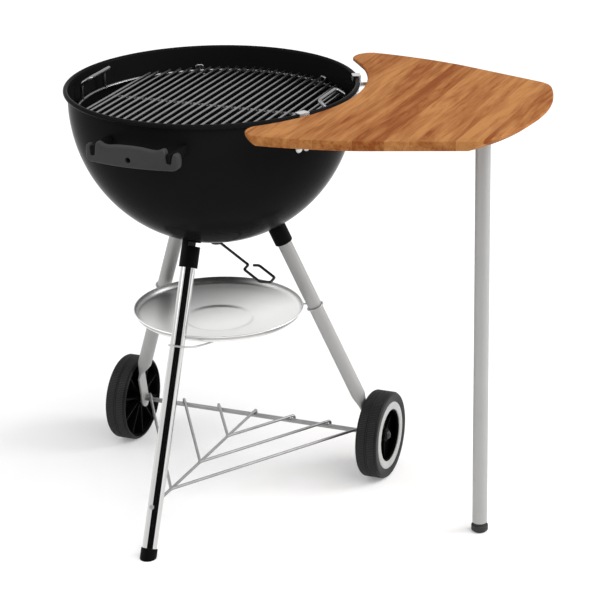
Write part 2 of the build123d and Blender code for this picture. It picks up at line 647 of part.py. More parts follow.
# Bottom rack
RACK_BACK = AXLE_Y + RACK_OVERHANG
with BuildPart() as bottom_rack:
    drop = Vector(0, 0, RACK_HOOK)
    spine_end = Vector(0, RACK_BACK, RACK_Z)
    add(straight_wire((0, RACK_LEG_Y + SEAT_GAP, RACK_Z), (0, AXLE_Y - RACK_PITCH_Y / 2, RACK_Z), RACK_WIRE))
    add(
        bent_wire(
            [(0, AXLE_Y - RACK_PITCH_Y / 2, RACK_Z), tuple(spine_end), tuple(spine_end - drop)],
            RACK_WIRE,
            RACK_BEND,
        )
    )
    for step in range(1, RACK_CHEVRONS + 1):
        for side in (1, -1):
            apex = Vector(0, AXLE_Y - step * RACK_PITCH_Y, RACK_Z)
            run = Vector(side * RACK_PITCH_X, RACK_PITCH_Y, 0)
            back = apex + run * (step + RACK_OVERHANG / RACK_PITCH_Y)
            add(bent_wire([tuple(apex), tuple(back), tuple(back - drop)], RACK_WIRE, RACK_BEND))
save(bottom_rack, "bottom_rack")

with BuildPart() as rack_screw:
    head_out = (LEG_DIAMETER / 2 + SEAT_GAP) / cos(LEG_TILT) + RACK_SCREW_HEAD / 2 * LEG_SLOPE
    add(
        headed_pin(
            Plane(origin=(0, RACK_LEG_Y - head_out, RACK_Z), z_dir=(0, -1, 0)),
            RACK_SCREW_SHANK,
            head_out - RACK_WIRE / 2,
            RACK_SCREW_HEAD,
            RACK_SCREW_HEAD_HEIGHT,
        )
    )
save(rack_screw, "rack_screw")

# Ash pan: a spun dish with a flared lip, a sloping floor and a lower well
with BuildPart() as ash_pan:
    with BuildSketch(Plane.XZ):
        with BuildLine():
            lip_low = (PAN_RADIUS - PAN_LIP_FLARE, PAN_RIM_HEIGHT - PAN_LIP)
            seat = (PAN_SEAT_RADIUS, PAN_RIM_HEIGHT - PAN_SEAT_DROP)
            well_edge = (PAN_WELL_RADIUS, PAN_RIM_HEIGHT - PAN_WELL_DROP)
            well_low = PAN_RIM_HEIGHT - PAN_WELL_DROP - PAN_WELL_STEP
            under = Polyline(
                (PAN_RADIUS, PAN_RIM_HEIGHT),
                lip_low,
                seat,
                well_edge,
                (PAN_WELL_RADIUS - PAN_WELL_STEP, well_low),
                (0, well_low),
            )
            Polyline(
                under @ 1,
                (0, well_low + PAN_SHELL),
                (PAN_WELL_RADIUS - PAN_WELL_STEP - PAN_SHELL / 2, well_low + PAN_SHELL),
                (PAN_WELL_RADIUS - PAN_SHELL / 2, PAN_RIM_HEIGHT - PAN_WELL_DROP + PAN_SHELL),
                (PAN_SEAT_RADIUS, PAN_RIM_HEIGHT - PAN_SEAT_DROP + PAN_SHELL),
                (PAN_RADIUS - PAN_LIP_FLARE - PAN_SHELL, PAN_RIM_HEIGHT - PAN_LIP + PAN_SHELL / 2),
                (PAN_RADIUS - PAN_SHELL, PAN_RIM_HEIGHT),
                under @ 0,
            )
        make_face()
    revolve(axis=Axis.Z)
save(ash_pan, "ash_pan")

# Wire clips: a ring round each leg with a tail that carries the pan
CLIP_TAIL_Z = PAN_RIM_HEIGHT - PAN_SEAT_DROP - CLIP_WIRE / 2 - REST_GAP
CLIP_RING_Z = PAN_RIM_HEIGHT - CLIP_RING_DROP
CLIP_RING_RADIUS = LEG_DIAMETER / 2 + SEAT_GAP + CLIP_WIRE / 2
for place, azimuth in LEG_AZIMUTHS.items():
    ring_plane = leg_plane(azimuth, CLIP_RING_Z)
    tail_start = ring_plane.origin + ring_plane.x_dir * CLIP_RING_RADIUS
    ring_start = ring_plane.origin - ring_plane.x_dir * CLIP_RING_RADIUS
    ring_section = Plane(origin=ring_start, x_dir=ring_plane.x_dir, z_dir=ring_plane.y_dir)
    tail_bend = polar(PAN_RADIUS + CLIP_WIRE, azimuth + CLIP_TURN / 2, CLIP_TAIL_Z)
    tail_end = polar(PAN_SEAT_RADIUS - CLIP_WIRE, azimuth + CLIP_TURN, CLIP_TAIL_Z)
    with BuildPart() as pan_clip:
        with BuildSketch(ring_section):
            Circle(CLIP_WIRE / 2)
        revolve(axis=Axis(ring_plane.origin, ring_plane.z_dir))
        add(bent_wire([tuple(tail_start), tuple(tail_bend), tuple(tail_end)], CLIP_WIRE, CLIP_WIRE * 2))
    save(pan_clip, f"{place}_pan_clip")

# Bowl handles: a strap bracket welded to the bowl and a moulded grip screwed to it
GRIP_INNER = GRIP_RADIUS - GRIP_THICKNESS
STRAP_OUTER = GRIP_INNER - SEAT_GAP
STRAP_INNER = STRAP_OUTER - STRAP_THICKNESS
NOTCH_OUT = GRIP_HALF_WIDTH - GRIP_TAB
NOTCH_IN = NOTCH_OUT - GRIP_NOTCH
HORN_X = NOTCH_IN - GRIP_NOTCH * 0.7
GRIP_MIDDLE_Z = (GRIP_BOTTOM + GRIP_TOP) / 2 - GRIP_CROWN
ARM_X = (NOTCH_OUT + NOTCH_IN) / 2
for place, azimuth in HANDLE_AZIMUTHS.items():
    with BuildPart() as bracket:
        with BuildSketch(Plane.XY.offset(GRIP_MIDDLE_Z - STRAP_HEIGHT / 2)):
            Circle(STRAP_OUTER)
            Circle(STRAP_INNER, mode=Mode.SUBTRACT)
        extrude(amount=STRAP_HEIGHT)
        with BuildSketch(upright(azimuth, 0)):
            with Locations((0, GRIP_MIDDLE_Z)):
                Rectangle(ARM_X * 2 + ARM_WIDTH, STRAP_HEIGHT)
        extrude(amount=GRIP_RADIUS, mode=Mode.INTERSECT)
        with BuildSketch(upright(azimuth, 0)):
            with Locations(
                (ARM_X, GRIP_NOTCH_FLOOR + SEAT_GAP + ARM_HEIGHT / 2),
                (-ARM_X, GRIP_NOTCH_FLOOR + SEAT_GAP + ARM_HEIGHT / 2),
            ):
                Rectangle(ARM_WIDTH, ARM_HEIGHT)
        extrude(amount=GRIP_INNER + GRIP_THICKNESS / 3)
        add(bowl_outer_space, mode=Mode.SUBTRACT)
        with BuildSketch(upright(azimuth, STRAP_INNER)):
            with Locations((0, GRIP_MIDDLE_Z)):
                Circle(GRIP_SCREW_SHANK / 2 + SEAT_GAP)
        extrude(amount=STRAP_THICKNESS * 2, both=True, mode=Mode.SUBTRACT)
        far_side = [solid for solid in bracket.solids() if solid.center().dot(polar(1, azimuth, 0)) < 0]
        add(far_side, mode=Mode.SUBTRACT)
    save(bracket, f"{place}_handle_bracket")

    with BuildPart() as grip:
        with BuildSketch(Plane.XY.offset(GRIP_BOTTOM)):
            Circle(GRIP_RADIUS)
            Circle(GRIP_INNER, mode=Mode.SUBTRACT)
        extrude(amount=GRIP_TOP + GRIP_HORN - GRIP_BOTTOM)
        with BuildSketch(upright(azimuth, 0)) as outline:
            with BuildLine():
                saddle = HORN_X - GRIP_NOTCH
                ThreePointArc((-saddle, GRIP_TOP), (0, GRIP_TOP + GRIP_CROWN), (saddle, GRIP_TOP))
                for way in (1, -1):
                    Polyline(
                        (way * saddle, GRIP_TOP),
                        (way * HORN_X, GRIP_TOP + GRIP_HORN),
                        (way * (HORN_X + GRIP_NOTCH * 0.4), GRIP_TOP + GRIP_HORN),
                        (way * NOTCH_IN, GRIP_TOP - GRIP_HORN),
                        (way * NOTCH_IN, GRIP_NOTCH_FLOOR),
                        (way * NOTCH_OUT, GRIP_NOTCH_FLOOR),
                        (way * NOTCH_OUT, GRIP_TAB_TOP),
                        (way * GRIP_HALF_WIDTH, GRIP_TAB_TOP),
                        (way * GRIP_HALF_WIDTH, GRIP_BOTTOM),
                    )
                Line((-GRIP_HALF_WIDTH, GRIP_BOTTOM), (GRIP_HALF_WIDTH, GRIP_BOTTOM))
            make_face()
            fillet(outline.vertices().group_by(Axis.Y)[0], GRIP_END_ROUND)
            fillet([v for v in outline.vertices() if abs(v.Y - GRIP_TAB_TOP) < SEAT_GAP], GRIP_TAB * 0.45)
            fillet(outline.vertices().group_by(Axis.Y)[-1], GRIP_HORN_ROUND)
            fillet([v for v in outline.vertices() if abs(v.Y - GRIP_TOP) < SEAT_GAP], GRIP_SADDLE_ROUND)
            notch_floor = [v for v in outline.vertices() if abs(v.Y - GRIP_NOTCH_FLOOR) < SEAT_GAP]
            fillet(notch_floor, GRIP_NOTCH_ROUND)
            with Locations((0, GRIP_MIDDLE_Z)):
                Circle(GRIP_HOLE / 2, mode=Mode.SUBTRACT)
        extrude(amount=GRIP_RADIUS + GRIP_THICKNESS, mode=Mode.INTERSECT)
    save(grip, f"{place}_handle_grip")

with BuildPart() as handle_screws:
    for azimuth in HANDLE_AZIMUTHS.values():
        seat = polar(STRAP_OUTER + SEAT_GAP, azimuth, GRIP_MIDDLE_Z)
        add(
            headed_pin(
                Plane(origin=seat, z_dir=polar(1, azimuth, 0)),
                GRIP_SCREW_SHANK,
                STRAP_THICKNESS * 2,
                GRIP_SCREW_HEAD,
                GRIP_SCREW_HEAD_HEIGHT,
            )
        )
save(handle_screws, "handle_screws")

# Cooking grate
BAR_Z = GRATE_HEIGHT + GRATE_RING_WIRE / 2 + GRATE_BAR / 2
EDGE_BAR_X = (GRATE_BARS - 1) / 2 * GRATE_PITCH
with BuildPart() as grate_ring:
    with BuildSketch(Plane.XZ):
        with Locations((GRATE_RADIUS, GRATE_HEIGHT)):
            Circle(GRATE_RING_WIRE / 2)
    revolve(axis=Axis.Z)
save(grate_ring, "cooking_grate_ring")

with BuildPart() as grate_bars:
    places = [(step - (GRATE_BARS - 1) / 2) * GRATE_PITCH for step in range(GRATE_BARS)]
    for x in [-EDGE_BAR_X - GRATE_EDGE_GAP, *places, EDGE_BAR_X + GRATE_EDGE_GAP]:
        half = sqrt((GRATE_RADIUS + GRATE_RING_WIRE / 4) ** 2 - x**2)
        with BuildSketch(Plane(origin=(x, -half, BAR_Z), z_dir=(0, 1, 0))):
            Circle(GRATE_BAR / 2)
        extrude(amount=half * 2)
save(grate_bars, "cooking_grate_bars")

with BuildPart() as grate_rod:
    rod_half = EDGE_BAR_X + GRATE_EDGE_GAP + GRATE_BAR / 2
    rod_z = BAR_Z - GRATE_BAR / 2 - GRATE_ROD / 2
    with BuildSketch(Plane(origin=(-rod_half, 0, rod_z), z_dir=(1, 0, 0))):
        Circle(GRATE_ROD / 2)
    extrude(amount=rod_half * 2)
save(grate_rod, "cooking_grate_rod")

HANDLE_FOOT_Z = GRATE_HEIGHT + GRATE_RING_WIRE / 2 + SEAT_GAP
for side, place in ((1, "right"), (-1, "left")):
    foot_x = side * sqrt(GRATE_RADIUS**2 - GRATE_HANDLE_HALF**2)
    top_x = foot_x - side * GRATE_HANDLE_LEAN
    knee_z = GRATE_HEIGHT + GRATE_HANDLE_KNEE
    top_z = GRATE_HEIGHT + GRATE_HANDLE_RISE
    with BuildPart() as grate_handle:
        add(
            bent_wire(
                [
                    (foot_x, -GRATE_HANDLE_HALF, HANDLE_FOOT_Z),
                    (foot_x, -GRATE_HANDLE_HALF, knee_z),
                    (top_x, -GRATE_HANDLE_TOP_HALF, top_z),
                    (top_x, GRATE_HANDLE_TOP_HALF, top_z),
                    (foot_x, GRATE_HANDLE_HALF, knee_z),
                    (foot_x, GRATE_HANDLE_HALF, HANDLE_FOOT_Z),
                ],
                GRATE_RING_WIRE,
                GRATE_HANDLE_BEND,
            )
        )
    save(grate_handle, f"{place}_grate_handle")

with BuildPart() as grate_supports:
    foot_z = GRATE_HEIGHT - GRATE_RING_WIRE / 2 - REST_GAP - SUPPORT_WIRE / 2
    wall_here = BOWL_INSIDE * sqrt(1 - ((SKIRT_Z - foot_z + SUPPORT_WIRE / 2) / BOWL_DEPTH_INSIDE) ** 2)
    arch_radius = sqrt((wall_here - SUPPORT_WALL_GAP - SUPPORT_WIRE / 2) ** 2 - SUPPORT_HALF**2)
    arch_top = GRATE_HEIGHT + SUPPORT_RISE
    for azimuth in SUPPORT_AZIMUTHS:
        out = polar(1, azimuth, 0)
        across = polar(1, azimuth + 90, 0)
        route = [
            (-1, arch_radius - SUPPORT_REACH, foot_z),
            (-1, arch_radius, foot_z),
            (-1, arch_radius, arch_top),
            (1, arch_radius, arch_top),
            (1, arch_radius, foot_z),
            (1, arch_radius - SUPPORT_REACH, foot_z),
        ]
        points = [tuple(out * r + across * (way * SUPPORT_HALF) + Vector(0, 0, z)) for way, r, z in route]
        add(bent_wire(points, SUPPORT_WIRE, SUPPORT_BEND))
save(grate_supports, "cooking_grate_supports")

# Charcoal grate on welded tabs
with BuildPart() as coal_tabs:
    tab_top = COAL_HEIGHT - COAL_WIRE / 2 - REST_GAP
    tab_length = BOWL_RADIUS - COAL_TAB_INNER
    tab_azimuth = degrees(asin(COAL_ROD_Y / COAL_RADIUS))
    with BuildSketch(Plane.XY.offset(tab_top - COAL_TAB_THICKNESS)):
        for turn in (-tab_azimuth, tab_azimuth):
            with PolarLocations(COAL_TAB_INNER + tab_length / 2, 2, start_angle=turn):
                Rectangle(tab_length, COAL_TAB_WIDTH)
    extrude(amount=COAL_TAB_THICKNESS)
    add(bowl_inner_space, mode=Mode.INTERSECT)
save(coal_tabs, "charcoal_grate_tabs")

with BuildPart() as coal_rods:
    for y in (-COAL_ROD_Y, COAL_ROD_Y):
        half = sqrt(COAL_RADIUS**2 - y**2)
        with BuildSketch(Plane(origin=(-half, y, COAL_HEIGHT), z_dir=(1, 0, 0))):
            Circle(COAL_WIRE / 2)
        extrude(amount=half * 2)
save(coal_rods, "charcoal_grate_rods")

with BuildPart() as coal_bars:
    for step in range(COAL_BARS):
        x = (step - (COAL_BARS - 1) / 2) * COAL_PITCH
        half = sqrt(COAL_RADIUS**2 - x**2)
        with BuildSketch(Plane(origin=(x, -half, COAL_HEIGHT + COAL_WIRE), z_dir=(0, 1, 0))):
            Circle(COAL_WIRE / 2)
        extrude(amount=half * 2)
save(coal_bars, "charcoal_grate_bars")

# Ash sweep: shaft through the bowl's bottom, blades inside, nut on top and a wire handle below
SHAFT_LOW = BOWL_BOTTOM - REST_GAP - SWEEP_BOSS_HEIGHT
WIRE_Z = SHAFT_LOW + SWEEP_WIRE_RISE
sweep_out = polar(1, SWEEP_AZIMUTH, 0)
sweep_across = polar(1, SWEEP_AZIMUTH + 90, 0)


def sweep_point(reach, across):
    """Point of the sweep's wire, on a plane that tilts down away from the shaft."""
    return tuple(sweep_out * reach + sweep_across * across + Vector(0, 0, WIRE_Z - SWEEP_TILT * reach))


with BuildPart() as sweep_shaft:
    with BuildSketch(Plane.XY.offset(SHAFT_LOW)):
        Circle(SWEEP_BOSS / 2)
    extrude(amount=SWEEP_BOSS_HEIGHT)
    with BuildSketch(Plane.XY.offset(SHAFT_LOW)):
        Circle(SWEEP_SHAFT / 2)
    extrude(amount=SWEEP_BOSS_HEIGHT + SWEEP_SHAFT_ABOVE)
    hole_start = Vector(*sweep_point(SWEEP_WIRE_DEPTH - SEAT_GAP, 0))
    with BuildSketch(Plane(origin=hole_start, z_dir=sweep_out - Vector(0, 0, SWEEP_TILT))):
        Circle(SWEEP_WIRE / 2 + SEAT_GAP)
    extrude(amount=SWEEP_BOSS, mode=Mode.SUBTRACT)
save(sweep_shaft, "sweep_shaft")

with BuildPart() as sweep_blades:
    lift = SWEEP_BLADE_LIFT
    add(bowl_envelope(BOWL_INSIDE - lift, BOWL_DEPTH_INSIDE - lift))
    lift += SWEEP_BLADE_SHEET
    add(bowl_envelope(BOWL_INSIDE - lift, BOWL_DEPTH_INSIDE - lift), mode=Mode.SUBTRACT)
    with BuildSketch(Plane.XY.offset(BOWL_BOTTOM)):
        Circle(SWEEP_HUB_RADIUS)
        with PolarLocations(0, SWEEP_BLADES, start_angle=ASH_HOLE_AZIMUTH + SWEEP_OPEN_TURN):
            Polygon(
                (0, SWEEP_BLADE_ROOT / 2),
                (0, -SWEEP_BLADE_ROOT / 2),
                (SWEEP_BLADE_REACH, -SWEEP_BLADE_TIP / 2),
                (SWEEP_BLADE_REACH, SWEEP_BLADE_TIP / 2),
                align=None,
            )
        Circle(SWEEP_SHAFT / 2 + SEAT_GAP, mode=Mode.SUBTRACT)
    extrude(amount=BOWL_DEPTH / 2, mode=Mode.INTERSECT)
save(sweep_blades, "sweep_blades")

with BuildPart() as sweep_nut:
    nut_reach = SWEEP_NUT_ACROSS / sqrt(3)
    nut_low = BOWL_BOTTOM + BOWL_WALL + SWEEP_BLADE_LIFT + SWEEP_BLADE_SHEET + SEAT_GAP
    nut_low += bowl_rise(BOWL_INSIDE - lift, BOWL_DEPTH_INSIDE - lift, nut_reach)
    with BuildSketch(Plane.XY.offset(nut_low)):
        RegularPolygon(SWEEP_NUT_ACROSS / 2, 6, major_radius=False)
        Circle(SWEEP_SHAFT / 2 + SEAT_GAP, mode=Mode.SUBTRACT)
    extrude(amount=SWEEP_NUT_HEIGHT)
save(sweep_nut, "sweep_nut")

with BuildPart() as sweep_handle:
    shoulder = SWEEP_LOOP_HALF * 0.6
    add(
        bent_wire(
            [
                sweep_point(SWEEP_WIRE_DEPTH, 0),
                sweep_point(SWEEP_NECK, 0),
                sweep_point(SWEEP_NECK + shoulder, -SWEEP_LOOP_HALF),
                sweep_point(SWEEP_LOOP_END - shoulder, -SWEEP_LOOP_HALF),
                sweep_point(SWEEP_LOOP_END, 0),
                sweep_point(SWEEP_LOOP_END - shoulder, SWEEP_LOOP_HALF),
                sweep_point(SWEEP_NECK + shoulder, SWEEP_LOOP_HALF),
                sweep_point(SWEEP_NECK + SWEEP_WIRE, SWEEP_WIRE * 1.3),
            ],
            SWEEP_WIRE,
            SWEEP_WIRE_BEND,
        )
    )
save(sweep_handle, "sweep_handle")

# Places shared by the clips, the board and the screws under it
CLIP_WALL_RADIUS = BOWL_RADIUS + CLIP_WALL_GAP
CLIP_RIM_RADIUS = RIM_RADIUS + CLIP_WALL_GAP
CLIP_OVER = RIM_HEIGHT + SEAT_GAP
CLIP_LIP_RADIUS = BOWL_INSIDE - CLIP_LIP_SPACE
CLIP_ARM_TOP = TABLE_UNDER - SEAT_GAP
CLIP_SCREW_REACH = (CLIP_RIM_RADIUS + CLIP_ARM_END) / 2
CLIP_SCREWS = (CLIP_SCREW_REACH - CLIP_SCREW_SPACING / 2, CLIP_SCREW_REACH + CLIP_SCREW_SPACING / 2)
PLATE_LOW = TABLE_UNDER - SEAT_GAP - LEG_PLATE_THICKNESS
PLATE_HOLE = LEG_PLATE_SIZE / 2 - WOOD_SCREW_HEAD
screw_seats = []
for azimuth in CLIP_AZIMUTHS.values():
    for reach in CLIP_SCREWS:
        screw_seats.append(polar(reach, azimuth, CLIP_ARM_TOP - CLIP_SHEET - SEAT_GAP))
for x in (TABLE_LEG_X - PLATE_HOLE, TABLE_LEG_X + PLATE_HOLE):
    for y in (TABLE_LEG_Y - PLATE_HOLE, TABLE_LEG_Y + PLATE_HOLE):
        screw_seats.append(Vector(x, y, PLATE_LOW - SEAT_GAP))

# Side table board: concave towards the bowl, tapering to a rounded far end
with BuildPart() as board:
    with BuildSketch(Plane.XY.offset(TABLE_UNDER)) as plan:
        with BuildLine():
            flip = [(x, -y) for x, y in (TABLE_TIP_INNER, TABLE_TIP_MIDDLE, TABLE_TIP_OUTER)]
            ThreePointArc(flip[0], (TABLE_NEAR_X, 0), TABLE_TIP_INNER)
            ThreePointArc(TABLE_TIP_INNER, TABLE_TIP_MIDDLE, TABLE_TIP_OUTER)
            ThreePointArc(*flip)
            for way in (1, -1):
                outer = (TABLE_TIP_OUTER[0], way * TABLE_TIP_OUTER[1])
                middle = (TABLE_SIDE_MIDDLE[0], way * TABLE_SIDE_MIDDLE[1])
                knee = (TABLE_SIDE_KNEE[0], way * TABLE_SIDE_KNEE[1])
                ThreePointArc(outer, middle, knee)
                Line(knee, (TABLE_CORNER[0], way * TABLE_CORNER[1]))
            ThreePointArc((TABLE_CORNER[0], -TABLE_CORNER[1]), (TABLE_END_X, 0), TABLE_CORNER)
        make_face()
        corners = [v for v in plan.vertices() if abs(v.X - TABLE_CORNER[0]) < 1]
        fillet(corners, TABLE_CORNER_RADIUS)
    extrude(amount=TABLE_THICKNESS)
    flat_faces = board.faces().filter_by(Axis.Z)
    fillet(flat_faces.edges(), TABLE_EASE)
    near_x = TABLE_NEAR_X - TABLE_NEAR_CURVE
    with BuildSketch(Plane(origin=(near_x, 0, 0), z_dir=(0, -1, 0), x_dir=(1, 0, 0))):
        add(undercut(TABLE_NEAR_CURVE, TABLE_NEAR_CURVE / 2, TABLE_NEAR_CURVE + TABLE_NEAR_BEVEL))
    revolve(axis=Axis((near_x, 0, 0), (0, 0, 1)), mode=Mode.SUBTRACT)
    end_x = TABLE_END_X - TABLE_END_CURVE
    with BuildSketch(Plane(origin=(end_x, 0, 0), z_dir=(0, -1, 0), x_dir=(1, 0, 0))):
        add(undercut(TABLE_END_CURVE, TABLE_END_CURVE * 2, TABLE_END_CURVE - TABLE_END_BEVEL))
    revolve(axis=Axis((end_x, 0, 0), (0, 0, 1)), mode=Mode.SUBTRACT)
    with BuildSketch(Plane.XZ):
        add(undercut(TABLE_TIP_X, 0, TABLE_TIP_X + TABLE_TIP_BEVEL))
    extrude(amount=TABLE_HALF_WIDTH * 2, both=True, mode=Mode.SUBTRACT)
    with BuildSketch(Plane.XY.offset(TABLE_UNDER)):
        with Locations(*[(seat.X, seat.Y) for seat in screw_seats]):
            Circle(WOOD_SCREW_SHANK / 2 + SEAT_GAP)
    extrude(amount=WOOD_SCREW_LENGTH, mode=Mode.SUBTRACT)
save(board, "table_board")

# Clips that hook over the rim, bolt to the bowl's wall and carry the board on an arm
for place, azimuth in CLIP_AZIMUTHS.items():
    across = polar(1, azimuth + 90, 0)
    section = Plane(origin=(0, 0, 0), x_dir=polar(1, azimuth, 0), z_dir=-across)
    with BuildPart() as rim_clip:
        with BuildSketch(section):
            with BuildLine():
                Polyline(
                    (CLIP_LIP_RADIUS, CLIP_OVER - CLIP_LIP),
                    (CLIP_LIP_RADIUS, CLIP_OVER),
                    (CLIP_RIM_RADIUS, CLIP_OVER),
                    (CLIP_RIM_RADIUS, CLIP_BEND_TOP),
                    (CLIP_WALL_RADIUS, CLIP_BEND_LOW),
                    (CLIP_WALL_RADIUS, CLIP_LOW),
                    (CLIP_WALL_RADIUS + CLIP_SHEET, CLIP_LOW),
                    (CLIP_WALL_RADIUS + CLIP_SHEET, CLIP_ARM_TOP - CLIP_SHEET),
                    (CLIP_ARM_END, CLIP_ARM_TOP - CLIP_SHEET),
                    (CLIP_ARM_END, CLIP_ARM_TOP),
                    (CLIP_RIM_RADIUS + CLIP_SHEET, CLIP_ARM_TOP),
                    (CLIP_RIM_RADIUS + CLIP_SHEET, CLIP_OVER + CLIP_SHEET),
                    (CLIP_LIP_RADIUS - CLIP_SHEET, CLIP_OVER + CLIP_SHEET),
                    (CLIP_LIP_RADIUS - CLIP_SHEET, CLIP_OVER - CLIP_LIP),
                    close=True,
                )
            make_face()
        extrude(amount=CLIP_WIDTH / 2, both=True)
        with BuildSketch(upright(azimuth, CLIP_WALL_RADIUS)):
            plate_height = CLIP_ARM_TOP - CLIP_SHEET - CLIP_LOW
            with Locations((0, CLIP_LOW + plate_height / 2)):
                RectangleRounded((BOLT_HALF_SPACING + CLIP_END_MARGIN) * 2, plate_height, CLIP_END_MARGIN)
        extrude(amount=CLIP_SHEET)
        with BuildSketch(upright(azimuth, CLIP_WALL_RADIUS)):
            with Locations(*BOLT_PLACES):
                Circle(BOLT_HOLE / 2)
        extrude(amount=CLIP_SHEET * 2, both=True, mode=Mode.SUBTRACT)
        with BuildSketch(Plane(origin=(0, 0, CLIP_ARM_TOP), x_dir=polar(1, azimuth, 0), z_dir=(0, 0, 1))):
            with Locations((CLIP_SCREWS[0], 0), (CLIP_SCREWS[1], 0)):
                Circle(WOOD_SCREW_SHANK / 2 + SEAT_GAP)
        extrude(amount=CLIP_SHEET, both=True, mode=Mode.SUBTRACT)
    save(rim_clip, f"{place}_rim_clip")

with BuildPart() as clip_bolts:
    for azimuth in CLIP_AZIMUTHS.values():
        face = upright(azimuth, CLIP_WALL_RADIUS + CLIP_SHEET + SEAT_GAP)
        for across, height in BOLT_PLACES:
            below = max(SKIRT_Z - height + BOLT_INNER_HEAD / 2, 0)
            wall = BOWL_INSIDE * sqrt(1 - (below / BOWL_DEPTH_INSIDE) ** 2)
            wall = sqrt(wall**2 - (abs(across) + BOLT_INNER_HEAD / 2) ** 2)
            depth = CLIP_WALL_RADIUS + CLIP_SHEET + SEAT_GAP - wall + SEAT_GAP + BOLT_INNER_HEIGHT
            at = face.origin + face.x_dir * across + Vector(0, 0, height)
            pin_plane = Plane(origin=at, x_dir=face.x_dir, z_dir=face.z_dir)
            add(
                headed_pin(
                    pin_plane,
                    BOLT_SHANK,
                    depth,
                    BOLT_HEAD,
                    BOLT_HEAD_HEIGHT,
                    tail=BOLT_INNER_HEAD,
                    tail_height=BOLT_INNER_HEIGHT,
                )
            )
save(clip_bolts, "clip_bolts")

with BuildPart() as board_screws:
    for seat in screw_seats:
        add(
            headed_pin(
                Plane(origin=seat, z_dir=(0, 0, -1)),
                WOOD_SCREW_SHANK,
                TABLE_UNDER - seat.Z + WOOD_SCREW_LENGTH - SEAT_GAP,
                WOOD_SCREW_HEAD,
                WOOD_SCREW_HEAD_HEIGHT,
            )
        )
save(board_screws, "board_screws")

# Table leg: a plate under the board, a tube on its spigot and a glide on the floor
with BuildPart() as leg_plate:
    with BuildSketch(Plane.XY.offset(PLATE_LOW)):
        with Locations((TABLE_LEG_X, TABLE_LEG_Y)):
            RectangleRounded(LEG_PLATE_SIZE, LEG_PLATE_SIZE, WOOD_SCREW_HEAD)
            with GridLocations(PLATE_HOLE * 2, PLATE_HOLE * 2, 2, 2):
                Circle(WOOD_SCREW_SHANK / 2 + SEAT_GAP, mode=Mode.SUBTRACT)
    extrude(amount=LEG_PLATE_THICKNESS)
    with BuildSketch(Plane.XY.offset(PLATE_LOW)):
        with Locations((TABLE_LEG_X, TABLE_LEG_Y)):
            Circle(TABLE_LEG_DIAMETER / 2 - TABLE_LEG_WALL - SEAT_GAP)
    extrude(amount=-LEG_PLATE_SPIGOT)
save(leg_plate, "table_leg_plate")

with BuildPart() as table_leg:
    with BuildSketch(Plane.XY.offset(GLIDE_HEIGHT + SEAT_GAP)):
        with Locations((TABLE_LEG_X, TABLE_LEG_Y)):
            Circle(TABLE_LEG_DIAMETER / 2)
            Circle(TABLE_LEG_DIAMETER / 2 - TABLE_LEG_WALL, mode=Mode.SUBTRACT)
    extrude(amount=PLATE_LOW - SEAT_GAP - GLIDE_HEIGHT - SEAT_GAP)
save(table_leg, "table_leg")

with BuildPart() as leg_glide:
    with BuildSketch(Plane.XY):
        with Locations((TABLE_LEG_X, TABLE_LEG_Y)):
            Circle(GLIDE_FOOT_DIAMETER / 2)
    extrude(amount=GLIDE_HEIGHT)
    with BuildSketch(Plane.XY.offset(GLIDE_FOOT_HEIGHT)):
        with Locations((TABLE_LEG_X, TABLE_LEG_Y)):
            Circle(GLIDE_DIAMETER / 2)
    extrude(amount=GLIDE_HEIGHT - GLIDE_FOOT_HEIGHT)
    fillet(leg_glide.edges().group_by(Axis.Z)[-1], (GLIDE_DIAMETER - TABLE_LEG_DIAMETER) / 3)
    with BuildSketch(Plane.XY.offset(GLIDE_HEIGHT)):
        with Locations((TABLE_LEG_X, TABLE_LEG_Y)):
            Circle(TABLE_LEG_DIAMETER / 2 - TABLE_LEG_WALL - SEAT_GAP)
    extrude(amount=GLIDE_SPIGOT)
save(leg_glide, "table_leg_glide")
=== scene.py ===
"""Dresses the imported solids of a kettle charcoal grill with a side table, laid out as an add-on."""

from math import asin, cos, pi, radians, sin, sqrt

import bmesh
import bpy
from mathutils import Matrix, Vector


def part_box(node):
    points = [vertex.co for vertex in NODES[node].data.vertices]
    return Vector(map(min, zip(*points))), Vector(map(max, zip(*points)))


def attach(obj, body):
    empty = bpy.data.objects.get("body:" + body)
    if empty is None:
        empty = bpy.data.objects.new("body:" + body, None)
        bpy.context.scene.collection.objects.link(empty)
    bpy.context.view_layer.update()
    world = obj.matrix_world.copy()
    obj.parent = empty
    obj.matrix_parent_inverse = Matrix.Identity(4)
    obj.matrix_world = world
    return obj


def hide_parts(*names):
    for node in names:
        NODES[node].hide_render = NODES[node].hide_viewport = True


bl_info = {
    "name": "Kettle grill with side table",
    "version": (1, 0, 0),
    "blender": (4, 5, 0),
    "location": "View3D > Sidebar > Grill",
    "description": "Builds the finished surfaces of a kettle grill around its packed solids",
    "category": "Object",
}

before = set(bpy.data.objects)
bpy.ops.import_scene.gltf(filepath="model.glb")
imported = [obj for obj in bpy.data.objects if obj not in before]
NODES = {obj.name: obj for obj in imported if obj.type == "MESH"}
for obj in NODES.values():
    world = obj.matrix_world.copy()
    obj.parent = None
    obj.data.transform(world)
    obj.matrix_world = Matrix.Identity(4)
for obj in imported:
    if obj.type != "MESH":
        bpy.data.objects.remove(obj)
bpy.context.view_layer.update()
BOWL_LOW, BOWL_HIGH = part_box("bowl")
AXIS = Vector(((BOWL_LOW.x + BOWL_HIGH.x) / 2, (BOWL_LOW.y + BOWL_HIGH.y) / 2, 0))
UP = Vector((0, 0, 1))
MM = 0.001
MERGE = 2e-6

